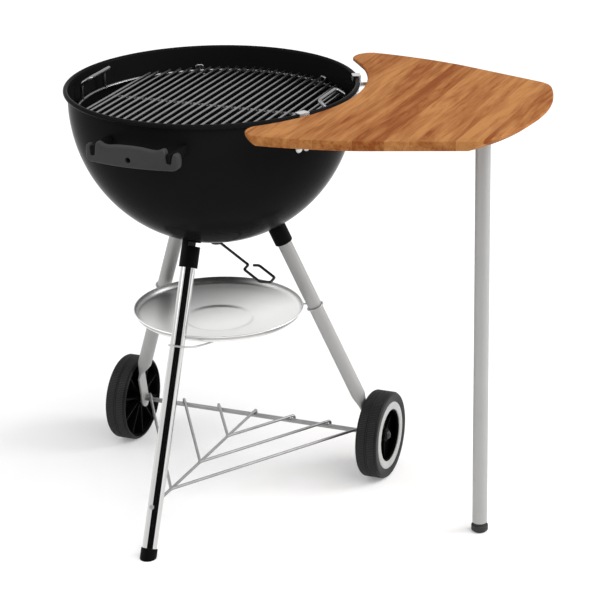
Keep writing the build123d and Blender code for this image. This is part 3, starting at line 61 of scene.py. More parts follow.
# Sizes of the solids, in millimetres from the bowl's axis and the floor, and azimuths in degrees
RIM_TOP = 713.0
SKIRT_Z = 691.0
WALL_RADIUS = 232.5
WALL_DEPTH = 238.5
WALL = 1.2
BEAD = 4.1
SHAFT_HOLE = 5.1
LEG_REACH = 298.4
LEG_SLOPE = 0.43
LEG_RADIUS = 12.0
LEG_TOP = 459.6
FRONT, RIGHT, LEFT = -90.0, 30.0, 150.0
HANDLES = {"front": -92.0, "rear": 88.0}
ASH_SLOTS = (-30.0, 90.0, 210.0)
SWEEP = -30.0
SUPPORTS = (60.0, 120.0, 240.0, 300.0)
CLIPS = (-29.0, 29.0)
SIDES = (("right", 1), ("left", -1))
WHEEL_X = 236.49
AXLE_Y = 133.075
AXLE_Z = 75.0
STRIP_X = 212.99
RACK_Z = 81.5
GRATE_Z = 673.5
GRATE_RADIUS = 219.0


class Sock:
    """A node's output that can be used in Python expressions."""

    def __init__(self, net, socket):
        self.net = net
        self.socket = socket

    def _math(self, operation, *terms):
        return self.net.node("ShaderNodeMath", dict(enumerate(terms)), operation=operation)

    def __add__(self, other):
        return self._math("ADD", self, other)

    __radd__ = __add__

    def __sub__(self, other):
        return self._math("SUBTRACT", self, other)

    def __rsub__(self, other):
        return self._math("SUBTRACT", other, self)

    def __mul__(self, other):
        return self._math("MULTIPLY", self, other)

    __rmul__ = __mul__

    def __truediv__(self, other):
        return self._math("DIVIDE", self, other)

    def __abs__(self):
        return self._math("ABSOLUTE", self)

    def root(self):
        return self._math("SQRT", self)

    def floor(self):
        return self._math("FLOOR", self)

    def fract(self):
        return self._math("FRACT", self)

    def sine(self):
        return self._math("SINE", self)

    def step(self, low, high):
        """Rises smoothly from 0 at low to 1 at high."""
        values = {"Value": self, "From Min": low, "From Max": high}
        return self.net.node("ShaderNodeMapRange", values, interpolation_type="SMOOTHSTEP")

    def split(self):
        """The three numbers of a vector."""
        node = self.net.node("ShaderNodeSeparateXYZ", {0: self}).socket.node
        return [Sock(self.net, output) for output in node.outputs]


class Net:
    """Adds nodes to one tree."""

    def __init__(self, tree):
        self.tree = tree

    def node(self, kind, values=None, out=0, **settings):
        """One node: its settings first, then the values or links of its sockets. Gives back one output."""
        made = self.tree.nodes.new(kind)
        for key, value in settings.items():
            setattr(made, key, value)
        for key, value in (values or {}).items():
            self.feed(made.inputs[key], value)
        return Sock(self, made.outputs[out]) if made.outputs else made

    def feed(self, socket, value):
        """Links or sets a socket."""
        if isinstance(value, Sock):
            self.tree.links.new(value.socket, socket)
        else:
            socket.default_value = value

    def vector(self, x=0.0, y=0.0, z=0.0):
        """Three numbers as a vector."""
        return self.node("ShaderNodeCombineXYZ", {0: x, 1: y, 2: z})

    def join(self, *shapes):
        """Shapes as one geometry."""
        joined = self.node("GeometryNodeJoinGeometry")
        for shape in shapes:
            self.feed(joined.socket.node.inputs[0], shape)
        return joined

    def seen(self):
        """1 on rays that show a surface directly, in a mirror or through glass, and 0 on light's own rays."""
        path = self.tree.nodes.new("ShaderNodeLightPath")
        rays = [Sock(self, path.outputs[f"Is {kind} Ray"]) for kind in ("Camera", "Glossy", "Transmission")]
        return (rays[0] + rays[1] + rays[2]).step(0.0, 1.0)


class Finish(Net):
    """A material under construction."""

    def __init__(self, name):
        self.material = bpy.data.materials.new(name)
        self.material.use_nodes = True
        super().__init__(self.material.node_tree)
        self.shader = self.tree.nodes["Principled BSDF"]

    def coords(self, centre=(0, 0, 0), turn=(0, 0, 0), stretch=(1, 1, 1)):
        """Object coordinates from a centre, turned and stretched."""
        source = self.node("ShaderNodeTexCoord", out=3)
        shifted = self.node("ShaderNodeVectorMath", {0: source, 1: tuple(centre)}, operation="SUBTRACT")
        return self.node("ShaderNodeMapping", {0: shifted, 2: turn, 3: stretch}, vector_type="POINT")

    def noise(self, vector, scale, detail=3.0, roughness=0.5, distortion=0.0):
        """Soft random mottling."""
        values = {"Vector": vector, "Scale": scale, "Detail": detail}
        values |= {"Roughness": roughness, "Distortion": distortion}
        return self.node("ShaderNodeTexNoise", values)

    def ramp(self, factor, *stops):
        """A run of three colours, each at its place."""
        made = self.node("ShaderNodeValToRGB", {0: factor})
        elements = made.socket.node.color_ramp.elements
        elements.new(0.5)
        for element, (place, colour) in zip(elements, stops):
            element.position = place
            element.color = (*colour, 1.0)
        return made

    def mix(self, factor, first, second):
        """Two colours mixed."""
        values = {0: factor}
        for key, colour in ((6, first), (7, second)):
            values[key] = colour if isinstance(colour, Sock) else (*colour, 1.0)
        return self.node("ShaderNodeMix", values, 2, data_type="RGBA")

    def bump(self, height, depth, strength):
        """Relief of a depth in metres."""
        return self.node("ShaderNodeBump", {"Height": height, "Strength": strength, "Distance": depth})

    def surface(self, **values):
        """Sets or links the shader's own sockets, named with underscores."""
        for key, value in values.items():
            socket = self.shader.inputs[key.replace("_", " ")]
            if isinstance(value, tuple) and len(value) == 3:
                value = (*value, 1.0)
            self.feed(socket, value)
        return self.material


def at(x, y, z):
    """A point given in millimetres from the bowl's axis, in metres in the frame."""
    return Vector((AXIS.x + x * MM, AXIS.y + y * MM, z * MM))


def polar(radius, azimuth, z):
    """A point at a distance from the bowl's axis."""
    return at(radius * cos(radians(azimuth)), radius * sin(radians(azimuth)), z)


def outward(azimuth):
    """Level unit directions away from the bowl's axis and across that."""
    out = Vector((cos(radians(azimuth)), sin(radians(azimuth)), 0))
    return out, Vector((-out.y, out.x, 0))


def beside(azimuth, reach, across, z):
    """A point outwards from the bowl's axis, then across and up."""
    out, side = outward(azimuth)
    return AXIS + (out * reach + side * across + UP * z) * MM


def leg_point(azimuth, z):
    """A point on a leg's axis."""
    return polar(LEG_REACH - LEG_SLOPE * z, azimuth, z)


def tint(colour, share):
    """A colour made darker or lighter."""
    return tuple(c * share for c in colour)


def hang(name, data):
    """A new object in the scene."""
    made = bpy.data.objects.new(name, data)
    bpy.context.scene.collection.objects.link(made)
    return made


def put(name, bm, finish, body, nodes=(), angle=35.0, normals=True):
    """Turns a bmesh into a finished piece that rides on a body and stands for solids."""
    bmesh.ops.remove_doubles(bm, verts=bm.verts, dist=MERGE)
    if normals:
        bmesh.ops.recalc_face_normals(bm, faces=bm.faces)
    mesh = bpy.data.meshes.new(name)
    bm.to_mesh(mesh)
    bm.free()
    return settle(name, mesh, finish, body, nodes, angle)


def settle(name, mesh, finish, body, nodes=(), angle=35.0):
    """Links a mesh as a piece, with its finish, body and the solids that it replaces."""
    mesh.shade_smooth()
    mesh.set_sharp_from_angle(angle=radians(angle))
    mesh.materials.clear()
    mesh.materials.append(finish)
    piece = hang(name, mesh)
    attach(piece, body)
    if nodes:
        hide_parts(*nodes)
    return piece


def paint(finish, *nodes):
    """Gives solids that stay in view their finish."""
    for node in nodes:
        materials = NODES[node].data.materials
        materials.clear()
        materials.append(finish)


def skin(rings, loop=False, bm=None):
    """Quads between rings of points, and flat ends unless the rings close, in a given or new bmesh."""
    if bm is None:
        bm = bmesh.new()
    rows = [[bm.verts.new(point) for point in ring] for ring in rings]
    count = len(rows[0])
    for low, high in zip(rows, rows[1:] + rows[:1] if loop else rows[1:]):
        for i in range(count):
            j = (i + 1) % count
            bm.faces.new((low[i], low[j], high[j], high[i]))
    if not loop:
        bm.faces.new(reversed(rows[0]))
        bm.faces.new(rows[-1])
    return bm


def lathe(profile, origin, axis, sides):
    """A closed profile of (radius, height) in millimetres, turned about an axis through a point."""
    turn = UP.rotation_difference(Vector(axis)).to_matrix()
    rings = []
    for step in range(sides):
        angle = 2 * pi * step / sides
        way = Vector((cos(angle), sin(angle), 0))
        rings.append([origin + turn @ (way * r + UP * z) * MM for r, z in profile])
    return skin(rings, loop=True)


def arc(centre, radius, start, end, steps):
    """Points of a circle's arc in a profile, by angles in degrees."""
    angles = [radians(start + (end - start) * i / steps) for i in range(steps + 1)]
    return [(centre[0] + radius * cos(a), centre[1] + radius * sin(a)) for a in angles]


def rounded(route, bend, steps=6):
    """A route of points with its corners turned into arcs of a radius in metres."""
    points = [route[0]]
    for before, corner, after in zip(route, route[1:], route[2:]):
        into, out = (before - corner).normalized(), (after - corner).normalized()
        half = into.angle(out) / 2
        cut = bend / max(sin(half) / cos(half), 1e-6)
        cut = min(cut, (before - corner).length * 0.48, (after - corner).length * 0.48)
        radius = cut * sin(half) / cos(half)
        hub = corner + (into + out).normalized() * (cut / cos(half))
        first, last = corner + into * cut - hub, corner + out * cut - hub
        spread = first.angle(last)
        for i in range(steps + 1):
            share = i / steps
            offset = (first * sin((1 - share) * spread) + last * sin(share * spread)) / sin(spread)
            points.append(hub + offset.normalized() * radius)
    points.append(route[-1])
    return points


def wire(line, diameter, sides=14, loop=False, bm=None):
    """A round wire of a diameter in millimetres along a list of points, with softened ends."""
    end_width, end_length = 0.6, 0.4
    radius = diameter / 2 * MM
    before = line[-1:] + line[:-1] if loop else line[:1] + line[:-1]
    after = line[1:] + line[:1] if loop else line[1:] + line[-1:]
    tangents = [(b - a).normalized() for a, b in zip(before, after)]
    side = tangents[0].orthogonal().normalized()
    rings = []
    for index, (point, tangent) in enumerate(zip(line, tangents)):
        side = (side - tangent * side.dot(tangent)).normalized()
        up = tangent.cross(side)
        spokes = [side * cos(2 * pi * i / sides) + up * sin(2 * pi * i / sides) for i in range(sides)]
        ends = []
        if not loop and index in (0, len(line) - 1):
            way = -tangent if index == 0 else tangent
            ends = [[point + s * radius * end_width for s in spokes]]
            point = point - way * radius * end_length
        ring = [point + s * radius for s in spokes]
        rings.extend(ends + [ring] if index == 0 else [ring] + ends)
    return skin(rings, loop, bm)


def softened(name, node, width, finish, body, segments=2):
    """A copy of a solid with its sharp edges rounded by a width in millimetres, in the solid's place."""
    flat, sharp = radians(0.5), radians(28.0)
    bm = bmesh.new()
    bm.from_mesh(NODES[node].data)
    bmesh.ops.remove_doubles(bm, verts=bm.verts, dist=MERGE)
    bmesh.ops.dissolve_limit(bm, angle_limit=flat, verts=bm.verts, edges=bm.edges)
    edges = [e for e in bm.edges if len(e.link_faces) == 2 and e.calc_face_angle(0) > sharp]
    bmesh.ops.bevel(
        bm, geom=edges, offset=width * MM, segments=segments, profile=0.5, affect="EDGES", clamp_overlap=True
    )
    return put(name, bm, finish, body, (node,), normals=False)


def evaluated(name, holder, *spare):
    """The plain mesh that an object's modifier makes. The object and any spare ones are then removed."""
    graph = bpy.context.evaluated_depsgraph_get()
    mesh = bpy.data.meshes.new_from_object(holder.evaluated_get(graph))
    mesh.name = name
    for used in (holder, *spare):
        data = used.data
        bpy.data.objects.remove(used)
        bpy.data.meshes.remove(data)
    return mesh


def carved(name, solid, tool):
    """A mesh of one closed bmesh with another taken out of it."""
    holders = []
    for label, bm in (("solid", solid), ("tool", tool)):
        bmesh.ops.remove_doubles(bm, verts=bm.verts, dist=MERGE)
        bmesh.ops.recalc_face_normals(bm, faces=bm.faces)
        mesh = bpy.data.meshes.new(f"{name}_{label}")
        bm.to_mesh(mesh)
        bm.free()
        holders.append(hang(mesh.name, mesh))
    cut = holders[0].modifiers.new("cut", "BOOLEAN")
    cut.object = holders[1]
    cut.solver = "EXACT"
    return evaluated(name, *holders)


def geometry_tree(name, **sockets):
    """An empty geometry tree, with its named inputs and the geometry that it starts from."""
    tree = bpy.data.node_groups.new(name, "GeometryNodeTree")
    kinds = {"Geometry": "Geometry", **sockets}
    for label, kind in kinds.items():
        tree.interface.new_socket(label, in_out="INPUT", socket_type=f"NodeSocket{kind}")
    tree.interface.new_socket("Geometry", in_out="OUTPUT", socket_type="NodeSocketGeometry")
    net = Net(tree)
    source = tree.nodes.new("NodeGroupInput")
    return net, {label: Sock(net, source.outputs[label]) for label in kinds}


def close_tree(net, shape, finish):
    """Ends a geometry tree in Realize Instances and Set Material."""
    realized = net.node("GeometryNodeRealizeInstances", {"Geometry": shape})
    painted = net.node("GeometryNodeSetMaterial", {"Geometry": realized, "Material": finish})
    net.node("NodeGroupOutput", {"Geometry": painted})
    return net.tree


def grow(name, tree, values, points=()):
    """Runs a geometry tree with its inputs on an object of loose points and gives back the plain mesh."""
    seed = bpy.data.meshes.new(name + "_seed")
    seed.from_pydata([tuple(p) for p, _ in points], [], [])
    if points:
        aim = seed.attributes.new("aim", "FLOAT_VECTOR", "POINT")
        aim.data.foreach_set("vector", [c for _, way in points for c in way])
    holder = hang(name + "_holder", seed)
    modifier = holder.modifiers.new("grow", "NODES")
    modifier.node_group = tree
    for item in tree.interface.items_tree:
        if item.in_out == "INPUT" and item.name in values:
            modifier[item.identifier] = values[item.name]
    return evaluated(name, holder)


# Finishes
def black_enamel(colour):
    """Baked enamel with a faint orange peel."""
    f = Finish("black_enamel")
    place = f.coords()
    peel = f.noise(place, 420.0, 2.0)
    cloud = f.noise(place, 9.0)
    return f.surface(
        Base_Color=f.mix(cloud, tint(colour, 0.85), tint(colour, 1.2)),
        Roughness=cloud * 0.08 + 0.16,
        Specular_IOR_Level=0.008,
        Normal=f.bump(peel, 0.00005, 0.25),
    )


def moulding(name, colour, roughness, grain=1400.0, depth=0.00008, shine=0.12):
    """Moulded plastic or rubber with a fine pebbled skin."""
    f = Finish(name)
    place = f.coords()
    pebble = f.noise(place, grain, 2.0)
    cloud = f.noise(place, 30.0)
    return f.surface(
        Base_Color=f.mix(cloud, tint(colour, 0.8), tint(colour, 1.25)),
        Roughness=cloud * 0.12 + roughness,
        Specular_IOR_Level=shine,
        Normal=f.bump(pebble, depth, 0.6),
    )


def drawn_metal(name, colour, roughness, run, wear=0.1, metal=1.0, grain=1.0):
    """Metal with fine lines along a run, which is a direction."""
    across, along = 2600.0, 12.0
    f = Finish(name)
    turn = UP.rotation_difference(Vector(run)).inverted().to_euler()
    place = f.coords(turn=tuple(turn), stretch=(across / along, across / along, 1.0))
    lines = f.noise(place, along, 2.0)
    cloud = f.noise(f.coords(), 14.0)
    tone = lines * wear + cloud * wear
    return f.surface(
        Base_Color=f.mix(tone.step(0.0, wear * 2), tint(colour, 0.82), colour),
        Metallic=metal,
        Roughness=lines * (0.12 * grain) + cloud * (0.08 * grain) + roughness,
        Normal=f.bump(lines, 0.00002, 0.3 * grain),
    )


def wire_metal(name, colour, roughness):
    """Plated wire with faint mottling."""
    f = Finish(name)
    place = f.coords()
    spangle = f.node("ShaderNodeTexVoronoi", {"Vector": place, "Scale": 260.0})
    cloud = f.noise(place, 40.0)
    return f.surface(
        Base_Color=f.mix(cloud, tint(colour, 0.75), tint(colour, 1.15)),
        Metallic=1.0,
        Roughness=spangle * 0.1 + cloud * 0.1 + roughness,
        Normal=f.bump(cloud, 0.00008, 0.4),
    )


def dipped_steel(colour, height):
    """Steel strap with painted shade: below a height in metres, where the board shades it, it is painted near
    black.
    """
    fade = 0.001
    f = Finish("dipped_steel")
    _, _, z = f.coords().split()
    cloud = f.noise(f.coords(), 40.0)
    # Painted shade: below the height, under the board, the strap is near black and not metallic.
    unshaded = (z + cloud * fade).step(height - fade, height + fade)
    return f.surface(
        Base_Color=f.mix(unshaded, (0.006, 0.006, 0.006), f.mix(cloud, tint(colour, 0.85), colour)),
        Metallic=unshaded,
        Roughness=cloud * 0.1 + 0.26,
        Specular_IOR_Level=0.1,
    )


def spun_metal(colour):
    """Sheet turned on a lathe: fine rings about the bowl's axis, with painted shade that darkens the back and
    the left, and a painted shadow line at the inner edge of the lip.
    """
    f = Finish("spun_metal")
    x, y, _ = f.coords(AXIS).split()
    reach = (x * x + y * y).root()
    values = {"W": reach, "Scale": 900.0, "Detail": 3.0}
    rings = f.node("ShaderNodeTexNoise", values, noise_dimensions="1D")
    cloud = f.noise(f.coords(), 18.0)
    # Painted shade: the sheet is darker towards the back and the left, where the bowl shades the pan.
    painted_light_share = (x * 5.28 - y * 4.74 + cloud * 0.12 - 0.06).step(-0.85, 0.25)
    # Painted shadow: a dark ring just inside the rolled lip.
    crease_shadow = reach.step(0.1375, 0.1388) * (1.0 - reach.step(0.1398, 0.1406)) * 0.5
    plain_sheet = f.mix(cloud * 0.5 + rings * 0.5, tint(colour, 0.9), colour)
    painted_shade_mix = f.mix(painted_light_share, tint(colour, 0.26), plain_sheet)
    return f.surface(
        Base_Color=f.mix(crease_shadow, painted_shade_mix, tint(colour, 0.1)),
        Metallic=1.0,
        Roughness=rings * 0.14 + cloud * 0.1 + 0.26,
        Normal=f.bump(rings, 0.00006, 0.5),
    )


def oiled_wood(light, dark, stave):
    """Glued staves along Y, each with its own tone, grain and pores, and end grain on the sawn ends."""
    seed, sway = 5.0, 0.18
    f = Finish("oiled_wood")
    place = f.coords(AXIS)
    x, _, _ = place.split()
    across = x / stave + (x * (2.3 / stave)).sine() * sway
    chance = f.node("ShaderNodeTexWhiteNoise", {"W": across.floor() + seed}, noise_dimensions="1D")
    shift = f.vector(chance * 3.0, chance * 7.0, chance * 5.0)
    moved = f.node("ShaderNodeVectorMath", {0: place, 1: shift}, operation="ADD")

    def grain(share, *shape):
        """Noise drawn out along the staves."""
        drawn = f.node("ShaderNodeVectorMath", {0: moved, 1: (1.0, share, 1.0)}, operation="MULTIPLY")
        return f.noise(drawn, *shape)

    flame = grain(0.14, 30.0, 5.0, 0.6, 1.4)
    streak = grain(0.06, 150.0, 4.0, 0.6, 0.5)
    fibre = grain(0.04, 620.0, 2.0, 0.6)
    pores = grain(0.03, 900.0, 1.0).step(0.62, 0.72) * 0.3
    tone = flame * 0.6 + streak * 0.38 + fibre * 0.16 + chance * 0.18 - 0.14
    between = tuple((a + b) / 2 for a, b in zip(light, dark))
    body = f.ramp(tone, (0.38, dark), (0.51, between), (0.64, light))
    seam = abs(across.fract() - 0.5).step(0.49, 0.4985)
    _, normal_y, _ = f.node("ShaderNodeTexCoord", out=1).split()
    sawn = abs(normal_y).step(0.45, 0.8)
    rays = f.noise(place, 420.0)
    shade = (pores + seam * 0.2 + sawn * rays * 0.4).step(0.0, 1.0)
    return f.surface(
        Base_Color=f.mix(shade, body, tint(dark, 0.5)),
        Roughness=streak * 0.15 + pores * 0.3 + 0.5,
        Specular_IOR_Level=0.02,
        Normal=f.bump(fibre * 0.4 - pores - seam * 0.6, 0.00025, 0.5),
    )


# Settings
def shade_of(name, description, default):
    """A colour."""
    return bpy.props.FloatVectorProperty(
        name=name, description=description, subtype="COLOR", size=3, default=default
    )


def amount_of(name, description, default, unit="NONE"):
    """A measure in a unit."""
    return bpy.props.FloatProperty(
        name=name, description=description, default=default, unit=unit, precision=5
    )


def count_of(name, description, default):
    """A number of like things."""
    return bpy.props.IntProperty(name=name, description=description, default=default)


class GrillFinishes(bpy.types.PropertyGroup):
    """Colours of the grill's finishes."""

    enamel: shade_of("Enamel", "Colour of the bowl", (0.0072, 0.0072, 0.0074))
    grip: shade_of("Grip", "Colour of the handles' grips", (0.034, 0.034, 0.035))
    plastic: shade_of("Black plastic", "Colour of sockets, caps and wheels", (0.0026, 0.0026, 0.0028))
    tyre: shade_of("Tyre", "Colour of the tyres", (0.007, 0.007, 0.007))
    trim: shade_of("Wheel trim", "Colour of the wheels' pale rings", (0.37, 0.37, 0.365))
    bright: shade_of("Bright tube", "Colour of the front leg", (0.66, 0.66, 0.65))
    satin: shade_of("Satin tube", "Colour of the rear and table legs", (0.41, 0.41, 0.405))
    wire: shade_of("Wire", "Colour of the plated wires", (0.36, 0.36, 0.36))
    sheet: shade_of("Sheet", "Colour of the ash pan", (1.0, 1.0, 0.99))
    steel: shade_of("Steel", "Colour of the rim clips and bolts", (0.66, 0.66, 0.66))
    wood_light: shade_of("Light wood", "Lightest tone of the board", (0.428, 0.192, 0.064))
    wood_dark: shade_of("Dark wood", "Darkest tone of the board", (0.215, 0.058, 0.0133))


class GrillSizes(bpy.types.PropertyGroup):
    """Sizes of what repeats on the grill."""

    grate_bars: count_of("Grate bars", "Evenly spaced bars of the cooking grate", 24)
    grate_pitch: amount_of("Grate pitch", "Distance between the cooking grate's bars", 0.0145, "LENGTH")
    grate_edge: amount_of("Edge bar", "Distance from the last even bar to the edge bar", 0.0097, "LENGTH")
    coal_bars: count_of("Charcoal bars", "Bars of the charcoal grate", 15)
    coal_pitch: amount_of("Charcoal pitch", "Distance between the charcoal grate's bars", 0.021, "LENGTH")
    tread_ribs: count_of("Tread ribs", "Ribs in each row round a tyre", 150)
    tread_rib_height: amount_of("Rib height", "Height of a tread rib", 0.0006, "LENGTH")
    stave: amount_of("Stave", "Usual width of the board's staves", 0.047, "LENGTH")


class GrillStage(bpy.types.PropertyGroup):
    """Camera, floor and light."""

    lens: amount_of("Lens", "Focal length of the camera in millimetres", 144.8, "CAMERA")
    floor: shade_of("Floor", "Colour of the floor", (0.97, 0.97, 0.97))
    key: amount_of("Key light", "Strength of the broad far lamp", 1.9)
    key_spread: amount_of("Key spread", "Width of the key light as seen from the grill", 1.0, "ROTATION")
    fill: amount_of("Fill light", "Power of the lamp on the left in watts", 24.0, "POWER")
    side: amount_of("Side light", "Power of the lamp on the right in watts", 58.0, "POWER")
    sky: amount_of("Sky", "Strength of the light from all round", 0.56)


# Bowl
def bowl_wall(radius, depth, steps=44):
    """Half an oval, from the hole for the sweep's shaft up to the rim's skirt."""
    start = asin(SHAFT_HOLE / radius)
    angles = [start + (pi / 2 - start) * (i / steps) for i in range(steps + 1)]
    return [(radius * sin(a), SKIRT_Z - depth * cos(a)) for a in angles]


def ash_prisms():
    """Upright prisms where the ash slots are."""
    reach, half_length, half_width, low, high = 52.0, 11.0, 12.0, 440.0, 480.0
    outline = arc((reach + half_length, 0.0), half_width, -90, 90, 8)
    outline += arc((reach - half_length, 0.0), half_width, 90, 270, 8)
    bm = bmesh.new()
    for azimuth in ASH_SLOTS:
        skin([[beside(azimuth, u, v, z) for u, v in outline] for z in (low, high)], bm=bm)
    return bm


class GRILL_OT_bowl(bpy.types.Operator):
    """Spun bowl with a rolled rim, and the slots that ash falls through"""

    bl_idname = "grill.bowl"
    bl_label = "Bowl"

    def execute(self, context):
        inside = WALL_RADIUS - WALL
        outer = bowl_wall(WALL_RADIUS, WALL_DEPTH)
        inner = bowl_wall(inside, WALL_DEPTH - WALL)
        rim = arc((inside + BEAD, RIM_TOP - BEAD), BEAD, -135, 180, 22)
        shell = lathe(outer + rim + inner[::-1], AXIS, UP, 180)
        finish = black_enamel(context.scene.grill_finishes.enamel)
        slotted = carved("kettle_bowl", shell, ash_prisms())
        settle("kettle_bowl", slotted, finish, "kettle", ("bowl",), 50)
        paint(finish, "charcoal_grate_tabs")
        return {"FINISHED"}


# Handles
def handle_spot(azimuth, across, reach, z):
    """A point beside the middle of a handle, at a distance from the bowl's axis."""
    return beside(azimuth, sqrt(reach**2 - across**2), across, z)


def grip_bar(azimuth):
    """A bar bent round the bowl: a saddle between two horns, then a notch and a tab at each end."""
    inner, outer, low, corner, end, taper = 274.0, 288.0, 653.5, 11.0, 81.0, 6.0
    saddle = [(0, 687.0), (10, 686.8), (20, 686.2), (29, 685.0), (37, 683.7), (43, 683.5), (47, 684.1)]
    horn = [(50.5, 685.6), (53.5, 687.0), (56, 687.4), (57.8, 686.6), (59.0, 684.6), (59.8, 680.0)]
    notch = [(60.5, 673.0), (61.2, 667.8), (62.4, 665.6), (65.5, 665.0), (68.6, 665.6), (69.8, 667.8)]
    tab = [(70.5, 673.0), (71.2, 678.0), (72.4, 680.6), (74.5, 681.2), (76.6, 680.6), (78.6, 678.8)]
    ridge = saddle + horn + notch + tab + [(80.0, 676.0), (80.8, 672.8), (end, 670.6)]
    rings = []
    for u, top in [(-u, z) for u, z in ridge[:0:-1]] + ridge:
        past = max(abs(u) - end + corner, 0)
        bottom = low + corner - sqrt(max(corner**2 - past**2, 0))
        slim = 4.0 * (max(abs(u) - end + taper, 0) / taper) ** 3
        soft = min(3.8, (top - bottom) * 0.4)
        front, back = outer - slim - soft, inner + slim + soft
        high, deep = top - soft, bottom + soft
        ring = []
        for turn, middle in enumerate(((front, high), (back, high), (back, deep), (front, deep))):
            section = arc(middle, soft, 90 * turn, 90 * turn + 90, 4)
            ring += [handle_spot(azimuth, u, r, z) for r, z in section]
        rings.append(ring)
    return skin(rings)


class GRILL_OT_handles(bpy.types.Operator):
    """Brackets, moulded grips and screws of the two bowl handles"""

    bl_idname = "grill.handles"
    bl_label = "Bowl handles"

    def execute(self, context):
        screw_z, screw_width = 666.25, 9.0
        nylon = moulding("nylon_grip", context.scene.grill_finishes.grip, 0.48, 1100.0, 0.00012)
        enamel = bpy.data.materials["black_enamel"]
        for place, azimuth in HANDLES.items():
            line = [handle_spot(azimuth, 0, reach, screw_z) for reach in (266.0, 281.0, 296.0)]
            moulded = carved(f"{place}_grip", grip_bar(azimuth), wire(line, screw_width, 28))
            settle(f"{place}_grip", moulded, nylon, "kettle", (f"{place}_handle_grip",), 40)
            softened(f"{place}_bracket", f"{place}_handle_bracket", 0.8, enamel, "kettle")
        paint(wire_metal("screw_steel", (0.2, 0.2, 0.2), 0.35), "handle_screws")
        return {"FINISHED"}


# Legs
def pressed_leg(azimuth, side, sides=48):
    """A tube that is pressed flat, bent upright and rounded off round the axle's hole."""
    press_top, press_low, knee, low, bend, half_width = 153.0, 127.6, 122.0, 60.0, 5.0, 12.0
    up = (leg_point(azimuth, 400.0) - leg_point(azimuth, 300.0)).normalized()
    knee_point = leg_point(azimuth, knee)
    end_y = (LEG_REACH - LEG_SLOPE * low) * sin(radians(azimuth))
    run = at(side * STRIP_X, end_y, low) - knee_point
    down = run.normalized()
    stations = [(leg_point(azimuth, z), up, 0.0, 1.0) for z in (LEG_TOP, 360.0, 260.0, 190.0, press_top)]
    for i in range(1, 11):
        share = i / 10
        z = press_top + (press_low - press_top) * share
        stations.append((leg_point(azimuth, z), up, share * share * (3 - 2 * share), 1.0))
    stations.append((leg_point(azimuth, knee + bend), up, 1.0, 1.0))
    stations.append((knee_point, (up - down).normalized(), 1.0, 1.0))
    stations.append((knee_point + down * (bend * MM), -down, 1.0, 1.0))
    for i in range(9):
        a = pi / 2 * i / 8
        along = run.length - half_width * MM * (1 - sin(a))
        stations.append((knee_point + down * along, -down, 1.0, max(cos(a), 0.12)))
    return skin([leg_section(*station, half_width, sides) for station in stations])


def leg_section(point, way, press, width, half_width, sides):
    """A ring across a leg, from round to a flat strip as the press goes from 0 to 1."""
    half_thickness, squareness = 2.0, 0.28
    wide = way.cross(Vector((1, 0, 0))).normalized()
    thick = wide.cross(way).normalized()
    ring = []
    for i in range(sides):
        a = 2 * pi * i / sides
        c, s = cos(a), sin(a)
        flat_u = half_width * width * (abs(c) ** squareness) * (1 if c >= 0 else -1)
        flat_v = half_thickness * (abs(s) ** squareness) * (1 if s >= 0 else -1)
        u = LEG_RADIUS * c + (flat_u - LEG_RADIUS * c) * press
        v = LEG_RADIUS * s + (flat_v - LEG_RADIUS * s) * press
        ring.append(point + (wide * u + thick * v) * MM)
    return ring


class GRILL_OT_legs(bpy.types.Operator):
    """Tube legs with their sockets and the front foot's cap"""

    bl_idname = "grill.legs"
    bl_label = "Legs"

    def execute(self, context):
        colours = context.scene.grill_finishes
        plastic = moulding("black_plastic", colours.plastic, 0.4, shine=0.04)
        run = leg_point(FRONT, 400.0) - leg_point(FRONT, 0.0)
        bright = drawn_metal("bright_tube", colours.bright, 0.05, run, wear=0.05, grain=0.15)
        line = [leg_point(FRONT, z) for z in (9.2, 120.0, 240.0, 360.0, LEG_TOP)]
        tube = wire(line, LEG_RADIUS * 2, 48)
        put("front_leg_tube", tube, bright, "kettle", ("front_leg",))
        for (place, side), azimuth in zip(SIDES, (RIGHT, LEFT)):
            run = leg_point(azimuth, 400.0) - leg_point(azimuth, 0.0)
            satin = drawn_metal(f"{place}_satin_tube", colours.satin, 0.38, run, metal=0.3)
            tube = pressed_leg(azimuth, side)
            put(f"{place}_rear_leg_tube", tube, satin, "kettle", (f"{place}_rear_leg",), 40)
        for place in ("front", "right_rear", "left_rear"):
            softened(f"{place}_socket", f"{place}_leg_socket", 1.0, plastic, "kettle")
        softened("front_foot_cap", "foot_cap", 1.4, plastic, "kettle", segments=3)
        return {"FINISHED"}


# Wheels
def tyre_profiles(tread):
    """Profiles of a tyre, with a middle groove and a lip over the rim, and of the bead in the groove."""
    half, seat, shoulder, flange = 19.0, 69.5, 4.2, 15.7
    tyre = [(seat, -half)] + arc((tread - shoulder, -half + shoulder), shoulder, -90, 0, 8)
    tyre += [(tread, -1.7), (tread - 0.9, -1.4)]
    tyre += [(r, -z) for r, z in reversed(tyre)]
    tyre += [(60.0, 18.5), (58.5, 17.8), (58.5, flange), (seat, flange)]
    bead = [(tread - 1.2, -0.8), (tread + 0.35, -0.7), (tread + 0.55, -0.4)]
    return tyre, bead + [(r, -z) for r, z in reversed(bead)]


